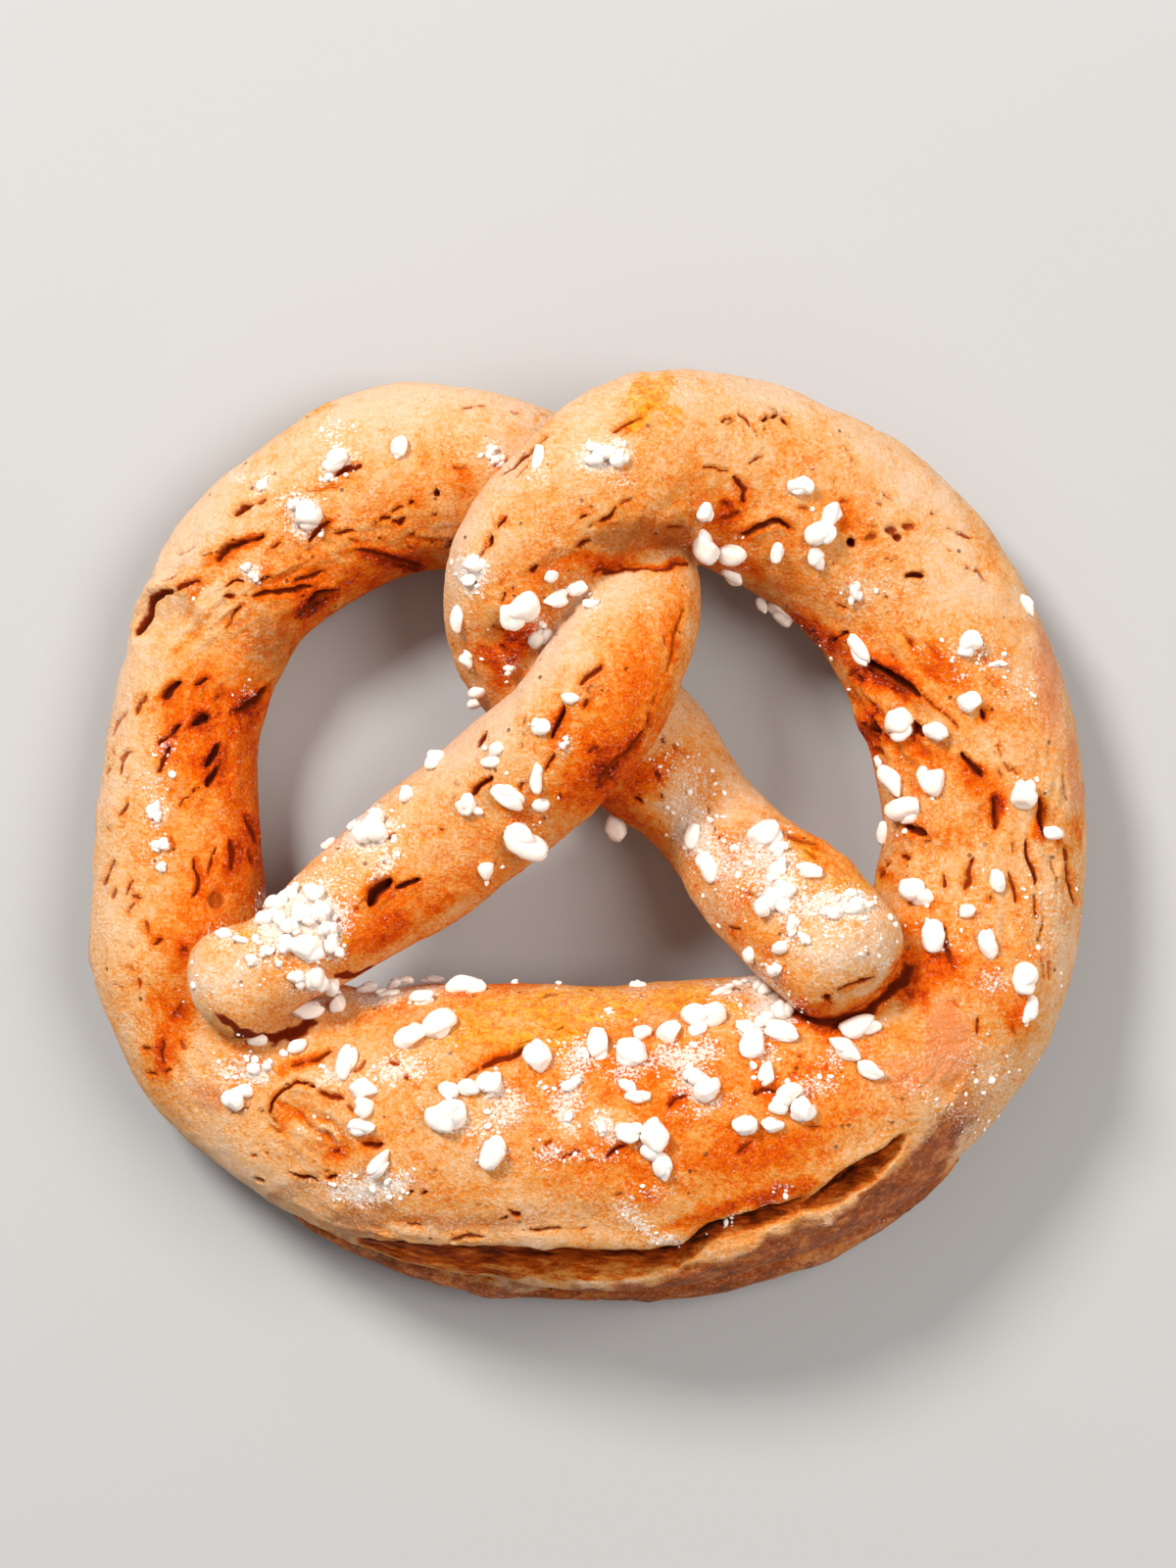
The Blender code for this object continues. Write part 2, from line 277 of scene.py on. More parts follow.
# ---------------------------------------------------------------------------
# Features of the crust, in view coordinates (mm)
# ---------------------------------------------------------------------------
# Splits and slits in the crust: route (a, b), width, depth, in mm
SLITS = [
    ([(-46.6, 34.4), (-46.1, 35.7), (-44.8, 36.7), (-43.4, 37), (-42.1, 37.4), (-40.9, 37.6)], 0.86, 1.1),
    ([(-51.5, 30.9), (-50.8, 31.5), (-49.9, 31.8), (-48.9, 32.1)], 0.74, 1.0),
    ([(-56.7, 25.6), (-55.9, 27), (-55.2, 28.4), (-54.5, 29.6), (-53.5, 30.4), (-52.4, 30.6)], 0.86, 1.2),
    ([(-53.5, 31.7), (-51.7, 32.8)], 0.37, 0.4), ([(-51.5, 35.4), (-49.5, 36)], 0.49, 0.3),
    ([(-48.7, 34.9), (-47.4, 35.5)], 0.49, 0.5), ([(-45.3, 31.4), (-44.4, 31.8), (-43.1, 32)], 0.62, 0.8),
    ([(-45.5, 30.1), (-44.7, 30.2)], 0.86, 0.8), ([(-43.7, 30.1), (-42.6, 30.4)], 0.37, 0.5),
    ([(-45.5, 25.8), (-45, 27.2), (-44.6, 28.4), (-43.4, 29.1)], 0.37, 0.7),
    ([(-42.1, 30.1), (-40, 30.4), (-38.2, 30.6), (-36.3, 30.9), (-34.7, 31.2)], 0.74, 1.0),
    ([(-41.6, 31.6), (-40.7, 32), (-39.8, 32.7)], 0.62, 0.8), ([(-40, 36), (-38.6, 36.9)], 0.49, 0.6),
    ([(-36.6, 34.7), (-35.7, 34.8)], 0.37, 0.4), ([(-35.2, 36), (-34.2, 36)], 0.49, 0.4),
    ([(-34.9, 37), (-34.2, 37.9), (-33.3, 38.9), (-32.3, 39.4)], 0.74, 0.9),
    ([(-31.8, 37.8), (-30.8, 37.9), (-29.8, 38.1)], 0.62, 0.8), ([(-29.8, 37), (-28.8, 36.7)], 0.49, 0.5),
    ([(-36.7, 32.1), (-35.5, 32.5), (-34.5, 32.6), (-33.8, 33.2)], 0.74, 0.9),
    ([(-33.6, 33.2), (-32.9, 33.3)], 0.37, 0.4),
    ([(-36, 27.4), (-35, 28.9), (-34.2, 29.9), (-33.3, 30.2), (-31.9, 30.6)], 1.23, 1.7),
    ([(-44.4, 40.3), (-43.4, 41), (-42.4, 41.5)], 0.99, 1.0), ([(-41.8, 41.6), (-40.3, 42.1)], 0.49, 0.6),
    ([(-31.8, 45.4), (-30.8, 46.1), (-29.6, 46.3), (-28.5, 46.5)], 0.99, 1.0),
    ([(-35.5, 43.2), (-33.9, 43.6), (-31.4, 43.8)], 0.37, 0.4), ([(-22.7, 41.8), (-21.7, 41.6)], 0.62, 0.9),
    ([(-24.6, 40.7), (-23.3, 41.2)], 0.49, 0.8), ([(-26.1, 40), (-25.4, 39.9), (-24.8, 40.1)], 0.74, 0.9),
    ([(-27, 39.2), (-26.5, 39.4)], 0.62, 0.7), ([(-24.4, 39.4), (-23.8, 39.1), (-23, 39.5)], 0.62, 0.9),
    ([(-22.4, 37.5), (-21.7, 37.5)], 0.49, 0.5), ([(-22.8, 36.2), (-22.1, 36)], 0.37, 0.5),
    ([(-29, 35.8), (-26.5, 35.1), (-24, 34.3), (-20.9, 33.8)], 0.74, 0.8), ([(-15.8, 53.7), (-14.3, 54.1)], 0.37, 0.5),
    ([(-13.7, 54), (-12.7, 54.1)], 0.37, 0.5), ([(-9.7, 53.3), (-8.7, 53.5)], 0.37, 0.4),
    ([(-17, 46), (-15, 46)], 0.49, 0.5), ([(-10.8, 45.4), (-9.2, 46.8), (-7.6, 48.1), (-5.4, 50.3)], 0.49, 0.8),
    ([(-9.4, 45), (-7.4, 47.1)], 0.31, 0.4), ([(-12.7, 36.5), (-12.4, 37.8)], 0.74, 1.0),
    ([(-11.5, 38.7), (-11, 39.4), (-10.5, 40.1)], 0.74, 0.9), ([(-13.8, 35.2), (-12.3, 36.5)], 0.49, 0.5),
    ([(-15, 31.8), (-13.9, 32.1)], 0.37, 0.7), ([(-10.8, 28.4), (-10.6, 29.6), (-10.3, 30.7)], 0.37, 0.7),
    ([(-9.5, 30.2), (-9.4, 31.2)], 0.31, 0.6), ([(-11.3, 31.1), (-11.1, 32.1)], 0.31, 0.4),
    ([(-53.6, 17.4), (-52.7, 18.3), (-51.5, 19.2)], 1.11, 1.2),
    ([(-49.4, 18.7), (-48.7, 19.2), (-47.9, 19.8)], 0.62, 1.0), ([(-46.8, 16.8), (-46.1, 18)], 0.37, 0.5),
    ([(-44.1, 15.5), (-42.9, 16.2), (-41.6, 16.9), (-40.7, 17.9), (-40.2, 18.7)], 1.11, 1.2),
    ([(-46.4, 15.1), (-46.1, 15.2)], 0.49, 0.6), ([(-44.8, 15.8), (-44.8, 14.8)], 0.49, 0.5),
    ([(-42.5, 14.1), (-41.3, 15.2)], 0.62, 0.7), ([(-49.6, 14), (-48.7, 14.5), (-47.8, 14.8)], 1.48, 1.6),
    ([(-52.5, 12.5), (-52, 13.2), (-51.4, 14.1)], 0.86, 1.1), ([(-54.2, 11.4), (-53.5, 12), (-52.7, 12.5)], 0.74, 0.9),
    ([(-47.8, 8.9), (-47.2, 10.2), (-46.6, 11.4)], 1.11, 1.4), ([(-47.7, 6.3), (-47.1, 7.6), (-46.4, 8.6)], 0.99, 1.3),
    ([(-54, 7.9), (-53.6, 9.3), (-53, 10.4), (-52.6, 11)], 0.86, 1.0),
    ([(-57.4, 15.6), (-56.7, 16.8), (-55.7, 17.7)], 0.86, 0.6),
    ([(-60.1, 12.9), (-59.6, 14.5), (-58.3, 16)], 0.49, 0.4), ([(-60.2, 10.8), (-60, 10)], 0.62, 0.4),
    ([(-59.1, 7.9), (-59, 9.2), (-58.2, 10.4), (-57.5, 10.7)], 0.62, 0.5), ([(-61, 7.5), (-60.5, 8.4)], 0.49, 0.4),
    ([(-58.3, 6.8), (-57.9, 7.5)], 0.37, 0.3), ([(-49.5, 5.5), (-48.9, 6.2)], 0.49, 0.7),
    ([(-51.3, 3.5), (-50.6, 4.5), (-50, 5)], 0.49, 0.7), ([(-59.3, 2.3), (-58.8, 3), (-58.4, 3.9)], 0.62, 0.6),
    ([(-58.8, 0.8), (-58.4, 1.5)], 0.37, 0.3), ([(-61, 1.3), (-60.5, 0.3)], 0.37, 0.3),
    ([(-42.9, 2.3), (-42.1, 0.6), (-41.6, -0.7)], 1.11, 0.8),
    ([(-45.1, -0.7), (-44.8, -2.4), (-44.6, -4.1)], 1.11, 0.8), ([(-42.4, -1.9), (-42.1, -3.6)], 0.86, 0.6),
    ([(-61, -6.2), (-60.1, -4), (-59.6, -3.1)], 0.62, 0.6), ([(-60.1, -8.1), (-59.6, -6.6)], 0.62, 0.5),
    ([(-58.2, -7.7), (-57.8, -6.2), (-57.4, -5.4)], 0.49, 0.6), ([(-57.4, -7.6), (-56.1, -7.9)], 0.49, 0.6),
    ([(-58.2, -9.8), (-56.9, -8.4)], 0.62, 0.5),
    ([(-49.5, -2.8), (-49.4, -4), (-48.9, -5), (-49, -6.2), (-49.8, -7.8)], 0.62, 0.9),
    ([(-47.7, -4.6), (-47.3, -3.1), (-46.9, -1.8)], 0.37, 0.7), ([(-52.5, -0.4), (-52.1, -1.9)], 0.37, 0.5),
    ([(-55.7, -10.8), (-55.4, -12.1)], 0.62, 0.5), ([(-54.5, -13.5), (-53.6, -13)], 0.86, 0.8),
    ([(-57.9, -13.6), (-57, -14.1)], 0.37, 0.4), ([(-51.4, -14.5), (-49.6, -14.1)], 0.74, 0.7),
    ([(-57.9, -16.3), (-56.9, -16.8)], 0.37, 0.4), ([(-59.4, -18.4), (-58.2, -19.2)], 0.37, 0.4),
    ([(-56.5, -19.2), (-56.3, -18)], 0.74, 0.6), ([(-55.7, -18.7), (-54.8, -18.9)], 0.37, 0.4),
    ([(-53.6, -25.6), (-53.3, -27), (-53.2, -28.3)], 0.74, 0.7), ([(-51, -25.6), (-50.4, -26.8)], 0.86, 0.5),
    ([(-55.9, -26.9), (-54.9, -26.7)], 0.74, 0.6), ([(-53.2, -29.3), (-52.2, -29)], 0.37, 0.8),
    ([(-55.2, -30), (-54.2, -30)], 0.49, 0.6), ([(-52.5, -23.1), (-51.5, -21.9), (-51, -20.6)], 0.49, 0.4),
    ([(-39.8, -35.1), (-39.5, -33.6), (-38.3, -32.2), (-36.7, -31.2), (-35.5, -31.2), (-34.1, -31.7)], 0.49, 1.0),
    ([(-37.2, -28.9), (-35.7, -28.4)], 0.74, 0.7), ([(-35.2, -28.3), (-34, -28), (-32.3, -27)], 0.74, 0.8),
    ([(-44.6, -34.7), (-42.4, -33.8)], 0.37, 0.5), ([(-41.3, -34.9), (-40.5, -34.7)], 0.62, 0.5),
    ([(-39.4, -35.5), (-38.6, -36.3)], 0.49, 0.5), ([(3.2, 50.8), (4.4, 51.6), (5.7, 52.1), (6.9, 52.5)], 0.49, 0.7),
    ([(7.4, 53.7), (8.5, 53.9)], 0.37, 0.5), ([(3.8, 50), (5.5, 51.1)], 0.37, 0.3),
    ([(16.6, 51.9), (17.2, 52.4), (18.1, 52.3)], 0.49, 0.7), ([(19.1, 52.8), (19.8, 52.5), (20.5, 51.6)], 0.62, 0.7),
    ([(17.4, 51.6), (18.4, 52.1)], 0.37, 0.4), ([(21.8, 52.4), (22.7, 52.8)], 0.62, 1.0),
    ([(23.3, 53.7), (23.7, 53.9)], 0.37, 0.6), ([(23.2, 52.5), (24.1, 52.9)], 0.49, 0.9),
    ([(24.6, 52.4), (25.3, 51.8)], 0.62, 1.0), ([(21.1, 50.9), (21.7, 50.7)], 0.37, 0.7),
    ([(22.2, 51.2), (22.5, 51.4)], 0.37, 0.6), ([(24.8, 53.5), (25.4, 53.4)], 0.31, 0.5),
    ([(20.3, 46.8), (21.2, 47.5), (22.1, 48)], 0.49, 0.6), ([(14.8, 46.4), (16.3, 46.1), (17.4, 45.8)], 0.49, 0.7),
    ([(18.2, 45.3), (19.1, 44.5), (19.7, 43.6), (19.6, 41.9)], 0.74, 0.9),
    ([(1.5, 39.5), (2.5, 40.2), (3.6, 41)], 0.62, 1.0), ([(0.2, 38.6), (1.5, 39.5)], 0.31, 0.5),
    ([(3.6, 41), (5.5, 42.2)], 0.31, 0.5), ([(-1, 39.9), (0.1, 40.3)], 0.49, 0.8),
    ([(-1, 36.2), (0.1, 36.8)], 0.62, 0.9), ([(9.9, 38.9), (11.6, 38.7)], 0.49, 0.7),
    ([(19.3, 37.8), (20.6, 38.4), (22.2, 39.2), (24, 39.6), (25.1, 38.7)], 0.86, 1.1),
    ([(16.8, 39.7), (17.9, 40.1), (18.7, 40.5)], 0.74, 0.6), ([(16.6, 41.9), (17.9, 41.2)], 0.62, 0.6),
    ([(26.6, 41), (27.6, 40.8)], 0.62, 0.6), ([(28.1, 45.9), (28.6, 46)], 0.49, 0.4),
    ([(30.7, 44.5), (31.2, 44.7)], 0.37, 0.4), ([(31.8, 41.9), (33, 41.7)], 0.62, 0.5),
    ([(32.8, 47.4), (33.3, 47.1)], 0.62, 0.4), ([(32.4, 48.4), (32.9, 48.1)], 0.37, 0.4),
    ([(30.4, 34.3), (30.7, 34.3)], 0.37, 0.7), ([(31.3, 28.8), (32.3, 28.5)], 0.37, 0.6),
    ([(25, 26.9), (26.5, 25.4), (28.3, 24.9)], 1.23, 1.2), ([(31.4, 24.9), (32.3, 25.2)], 0.74, 0.8),
    ([(30.2, 24.3), (31, 24.7)], 0.62, 0.7),
    ([(35.1, 21.7), (36.3, 20.9), (38.4, 20), (40.4, 18.5), (41.9, 17.6)], 1.48, 1.6),
    ([(42.5, 17.8), (43.7, 16.3), (45.1, 15.1), (46.8, 13.4)], 0.43, 0.7), ([(33.8, 20), (34.7, 19.2)], 0.99, 0.8),
    ([(36.1, 14.5), (36.5, 12.6)], 1.36, 1.2), ([(41.1, 13.9), (41.6, 12.6)], 1.23, 1.1),
    ([(36.1, 11.1), (37.6, 10.2)], 0.74, 0.7), ([(33, 20), (34, 20.8)], 0.62, 0.5),
    ([(35.1, 14.5), (35.7, 12.4)], 0.62, 0.6), ([(39.5, 39), (41, 39)], 0.99, 0.6),
    ([(35.1, 37.4), (36.2, 37.3)], 0.99, 0.5), ([(37.3, 34.7), (37.9, 34.4)], 0.49, 0.5),
    ([(38.3, 34.6), (38.9, 34.7)], 0.37, 0.4), ([(40.2, 32.6), (41.1, 32.7), (42.1, 32.6)], 0.86, 1.6),
    ([(37.6, 29.9), (37.8, 29.8)], 0.37, 0.6), ([(47.2, 33.7), (47.8, 33.6)], 0.62, 0.5),
    ([(48.5, 33.2), (49.4, 32.7), (50, 32)], 0.49, 0.5), ([(37, 42.8), (38.2, 42.4)], 0.37, 0.5),
    ([(36.2, 41.6), (37, 41.5)], 0.37, 0.5), ([(43.1, 40.6), (43.9, 40.2)], 0.49, 0.4),
    ([(45, 38.7), (45.8, 38.6)], 0.49, 0.4), ([(46.4, 38.4), (47.6, 37.8), (48.4, 37.4)], 0.49, 0.6),
    ([(45, 35.9), (45.6, 35.9)], 0.37, 0.4), ([(35.6, 38.5), (36.3, 38.7)], 0.37, 0.4),
    ([(42.4, 24.3), (43.4, 23.2), (44.6, 22.2)], 0.37, 0.4), ([(45.3, 21.3), (46.6, 20)], 0.37, 0.4),
    ([(49.3, 22.7), (50.3, 21.5)], 0.49, 0.4), ([(49.9, 20), (51.3, 18.5)], 0.37, 0.4),
    ([(37.6, 22.7), (38.9, 21.7)], 0.49, 0.4), ([(49.3, 15.8), (49.8, 14.8)], 0.99, 1.2),
    ([(51.3, 11.4), (52, 9.9)], 0.62, 0.5), ([(52.2, 9.4), (53.2, 8.2)], 0.49, 0.5),
    ([(51.5, 8.6), (52.2, 7.3)], 0.62, 0.5), ([(53.6, 8.6), (54.3, 7.6)], 0.62, 0.5),
    ([(47.3, 10.4), (48, 8.9), (49.6, 7.5)], 1.11, 1.3), ([(51, 4.6), (51.1, 3), (51.4, 0.9)], 0.99, 1.0),
    ([(56.9, 4.5), (57, 2.5), (57.4, 0.3)], 0.86, 1.2),
    ([(55.3, -0.7), (55.4, -2.8), (56.1, -4.6), (56.5, -6.3)], 0.62, 0.9), ([(53.3, -0.7), (53.7, -2.4)], 0.49, 0.5),
    ([(53, -4.6), (53.7, -6.5), (54, -8.3)], 0.62, 0.7), ([(56.2, -7.3), (56.3, -8.9), (56.4, -10.5)], 0.49, 0.6),
    ([(57.2, -10.2), (57.3, -13.5)], 0.37, 0.4), ([(58.3, -2.5), (59.1, -5.5)], 0.37, 0.5),
    ([(59.9, 7.9), (60.4, 4.6)], 0.37, 0.5), ([(60.1, -1.5), (60.5, -4), (60.9, -6.5), (61.1, -8.6)], 0.49, 0.7),
    ([(59.1, -0.3), (59.5, -1.7)], 0.49, 0.4), ([(58.2, -15.7), (58.3, -18.2)], 0.37, 0.4),
    ([(57.2, -15.5), (57.4, -18.2)], 0.37, 0.4), ([(47.6, -6.5), (47.9, -4.6), (48.5, -3)], 1.11, 0.7),
    ([(44.8, -5.1), (45.1, -6.5)], 0.74, 0.8), ([(50.5, -7.5), (50.5, -8.4)], 0.49, 0.7),
    ([(50.4, -11.4), (50.4, -12)], 0.37, 0.5), ([(44.8, -11.8), (45.1, -13.9), (45.7, -16.1)], 0.99, 0.7),
    ([(39.7, 1.3), (41.3, 0.8), (42.3, 0.3)], 1.11, 1.2), ([(36, -4.9), (37.6, -4.4)], 0.99, 0.7),
    ([(37.2, -3.5), (37.9, -3.3)], 0.74, 0.6), ([(39.4, -2.5), (40.4, -2.9)], 0.74, 0.8),
    ([(42, -0.6), (42.9, -0.6)], 0.62, 0.6), ([(49, -23.1), (49, -25.1)], 0.62, 0.6),
    ([(45.6, -20.6), (46.8, -21.9)], 0.49, 0.3), ([(53, -24.3), (54, -25.3)], 0.49, 0.4),
    ([(40, -19.7), (40.7, -20.4)], 0.74, 0.5), ([(-11.7, 25.3), (-11, 24.7)], 0.49, 0.7),
    ([(-11.2, 23.1), (-10.3, 22.7)], 0.49, 0.6), ([(-12.3, 26.2), (-11.7, 25.9)], 0.37, 0.5),
    ([(-1, 18.8), (0.2, 20), (1.6, 21.4)], 1.11, 0.9), ([(-0.7, 16.1), (-0.5, 17.1)], 0.74, 0.8),
    ([(-0.2, 17.8), (0.7, 18.8)], 0.74, 0.4), ([(-4.8, 12.4), (-4.1, 13.6), (-3.3, 15.1), (-3, 16.3)], 0.74, 1.2),
    ([(-8.5, 14.1), (-8.1, 14.8)], 0.62, 0.5), ([(-8.5, 13), (-8.3, 12.4)], 0.37, 0.4),
    ([(-8.5, 11.8), (-8.4, 11.1)], 0.37, 0.5), ([(-13.8, 11.4), (-13.2, 12.3), (-12.8, 12.9)], 0.74, 0.9),
    ([(-14.5, 5), (-13.9, 6.1), (-12.9, 6.8), (-12, 7.2)], 0.74, 1.1), ([(-16.9, 6.8), (-16.5, 6.1)], 0.37, 0.5),
    ([(-16.9, 4.9), (-16.6, 4.4)], 0.37, 0.5), ([(-5.5, 8.2), (-4.8, 9.3), (-4.2, 10.3)], 0.49, 0.8),
    ([(-8.6, 5.9), (-8.1, 6.8)], 0.49, 0.7), ([(0, 10.4), (1, 10.9)], 0.37, 0.6),
    ([(-3.6, 5.2), (-3.1, 4.7)], 0.37, 0.6), ([(-6.9, 33), (-6.5, 33.7)], 0.74, 1.0),
    ([(12.1, 28.4), (11.6, 26.2), (11, 23.7), (10.3, 20.6)], 0.37, 0.5), ([(8.9, 17.3), (8.4, 16.1)], 0.37, 0.4),
    ([(7.9, 15.1), (7.4, 13.6)], 0.49, 0.7), ([(6.8, 13.2), (5.7, 11.6), (4.2, 9.9), (2.7, 8.2), (1, 6.2)], 0.62, 0.8),
    ([(2.1, 25.6), (2.7, 25.9)], 0.31, 0.3), ([(9.9, 25.2), (10, 24.3)], 0.37, 0.4),
    ([(9.1, 13.1), (9.5, 11.9)], 0.74, 0.6), ([(10.7, 11.6), (11.1, 10.9)], 0.62, 0.6),
    ([(11.8, 10.8), (12.3, 10.5)], 0.49, 0.5), ([(8.7, 7.7), (9.1, 7)], 0.49, 0.9),
    ([(6, 4.9), (6.9, 4.5)], 0.49, 0.8), ([(9.1, 5), (9.6, 4.9)], 0.49, 0.8),
    ([(3.1, 2.3), (3.8, 1.8), (4.7, 1.7)], 0.62, 1.3), ([(2.5, 7.1), (3.4, 6.7)], 0.37, 0.5),
    ([(14.9, 3.8), (15.2, 3.1)], 0.49, 0.5), ([(15.3, 2.5), (15.5, 1.8)], 0.49, 0.5),
    ([(15.8, 1.3), (15.9, 0.7)], 0.49, 0.5), ([(16.3, 0.3), (16.4, -0.2)], 0.49, 0.6),
    ([(16.5, -0.7), (16.8, -1.2)], 0.37, 0.5), ([(17.2, -0.9), (17.4, -1.4)], 0.37, 0.4),
    ([(-18.7, 0.6), (-18.2, 0.8)], 0.62, 0.7), ([(-25, -0.4), (-24.3, 0.3)], 0.49, 0.5),
    ([(-27.1, -8.7), (-26.9, -7.1), (-25.9, -6.2), (-24.8, -5.7)], 1.60, 2.2),
    ([(-24.1, -6.5), (-22.7, -6), (-21.3, -5.5)], 0.74, 1.3), ([(-29.2, -9.2), (-28.7, -8.8)], 0.74, 0.7),
    ([(-28.3, -8.2), (-28.1, -7.7)], 0.49, 0.5), ([(-28.3, -9.1), (-27.8, -8.9)], 0.49, 0.5),
    ([(-31.8, -10.7), (-30.8, -10.3)], 0.62, 0.5), ([(-26.4, -4.1), (-25.3, -3.5)], 0.31, 0.3),
    ([(17.9, -11.5), (19.5, -12)], 0.62, 0.6), ([(19.5, -7.2), (20.9, -7.3)], 0.37, 0.4),
    ([(25, 0.1), (27.1, -0.6), (28.7, -1.2)], 0.74, 0.5), ([(27.4, -1.9), (28.7, -3)], 0.49, 0.4),
    ([(31.2, -19.4), (32.8, -18.7), (34.5, -18), (35.5, -17.7)], 0.49, 0.9),
    ([(29.6, -20.5), (30.4, -20.6)], 0.74, 1.0), ([(-25, -28.8), (-23.7, -28.6)], 0.49, 0.6),
    ([(-23.2, -30.1), (-22.4, -30.2)], 0.62, 0.7), ([(-22.1, -31.2), (-21.2, -31.4)], 0.37, 0.4),
    ([(-19.3, -31.7), (-19, -31.8)], 0.37, 0.5), ([(-23.4, -36.3), (-23, -36.4)], 0.37, 0.4),
    ([(-22.2, -36.9), (-22.1, -37.4)], 0.37, 0.4),
    ([(-13.2, -29), (-11.7, -28.4), (-9.9, -27.9), (-7.6, -26.5)], 0.86, 0.9),
    ([(-15, -30.2), (-13.6, -29.1)], 0.49, 0.6), ([(-8.9, -26.1), (-7.4, -25.6)], 0.37, 0.5),
    ([(-29.3, -30), (-28.6, -29), (-28.3, -28.3)], 0.62, 0.5), ([(-27.4, -30), (-26.4, -29.9)], 0.37, 0.3),
    ([(-28.3, -38.9), (-27.1, -39.1), (-25.9, -38.9)], 0.86, 0.9), ([(-32, -39.9), (-31.3, -39.4)], 0.74, 0.6),
    ([(-33.5, -32.3), (-32.3, -32.7), (-30.8, -33.2)], 0.86, 0.8), ([(-30.2, -33.7), (-29.3, -34.7)], 0.62, 0.5),
    ([(-42, -39.9), (-41.5, -40.1)], 0.37, 0.6), ([(-40.4, -39.7), (-39.9, -39.9)], 0.37, 0.5),
    ([(-37.6, -42.1), (-37, -42.2)], 0.37, 0.4), ([(-36.7, -42.4), (-35.5, -42.8), (-33.9, -43.3)], 0.49, 0.8),
    ([(-32.6, -43.3), (-31.7, -42.8)], 0.74, 0.8), ([(-33.1, -42.4), (-32.4, -42.3)], 0.37, 0.5),
    ([(-34.6, -41.1), (-34.4, -41.2)], 0.37, 0.5), ([(-41.6, -42.7), (-40.3, -43.2)], 0.49, 0.6),
    ([(-22.2, -44.9), (-21.8, -45)], 0.49, 0.7), ([(-20.8, -45.2), (-20.1, -44.8)], 0.49, 0.8),
    ([(-19.7, -42.3), (-19.3, -42.1)], 0.49, 0.5), ([(-10, -46.9), (-9.1, -47.2), (-8.3, -47.2)], 0.62, 1.0),
    ([(-11.1, -48), (-10.1, -47.7)], 0.37, 0.7), ([(-22.7, -49), (-20.7, -49.2)], 0.31, 0.5),
    ([(-17.2, -50.5), (-14.8, -50.2), (-12.9, -50)], 0.49, 0.6),
    ([(-7.4, -49.3), (-5.4, -49.2), (-3.3, -49.1)], 0.37, 0.7), ([(-0.7, -49.3), (-0.2, -49.3)], 0.37, 0.5),
    ([(-14.3, -46.3), (-13.2, -46.1)], 0.25, 0.2), ([(-3.3, -40.5), (-2.1, -40), (-1, -39.5)], 0.49, 0.8),
    ([(2.2, -40.5), (3.4, -39.5), (4.6, -38.9)], 0.62, 0.9), ([(-5.5, -39.1), (-4.3, -38.5)], 0.49, 0.6),
    ([(0, -40.8), (1, -41)], 0.49, 0.5), ([(10.3, -34.2), (11.3, -33.2), (12.2, -32.3)], 0.62, 0.8),
    ([(3.7, -45.2), (4.6, -44.8)], 0.37, 0.5), ([(7.3, -45.4), (7.6, -45.2)], 0.37, 0.5),
    ([(18.8, -40), (19.7, -39.1), (20.7, -38.5)], 0.49, 0.6), ([(20.9, -32.6), (21.9, -32.2), (23.2, -32)], 0.99, 0.8),
    ([(-4.2, -26.5), (-2.2, -26.3)], 0.49, 0.4), ([(-4.3, -24.1), (-2.8, -23.8)], 0.49, 0.5),
    ([(0.6, -24.5), (1.6, -23.8)], 0.49, 0.4), ([(-6.4, -19.8), (-3.7, -19.7)], 0.49, 0.4),
    ([(25.3, -30.5), (26.1, -30)], 0.37, 0.4), ([(13.4, -42.4), (13.7, -42.3)], 0.37, 0.5),
    ([(26.1, -27.9), (26.6, -27.9)], 0.62, 0.6), ([(27.8, -36.7), (29.1, -36.7)], 0.62, 0.6),
    ([(-9.5, -21.7), (-8.6, -21.5)], 0.37, 0.3),
]
# Round pores: a, b, half sizes, depth
PORES = [
    (-52.7, 30.6, 0.6, 0.5, 0.6), (-19, 42.8, 0.5, 0.6, 1.0), (-19.2, 40.2, 0.4, 0.3, 0.5), (-18, 46.4, 0.2, 0.2, 0.4),
    (38.1, 38.3, 1.0, 0.7, 0.7), (38.9, 37.4, 0.7, 0.7, 0.9), (40.2, 38.9, 0.7, 0.6, 0.5), (35.7, 37.4, 0.7, 0.6, 0.5),
    (33.1, 36.7, 0.7, 0.7, 1.3), (-7, 33.2, 0.4, 0.5, 0.8), (-46.6, -8.1, 1.4, 1.4, 0.5),
    (-36.3, -39.9, 0.2, 0.2, 0.3), (41.3, 32.6, 0.6, 0.4, 1.0),
]
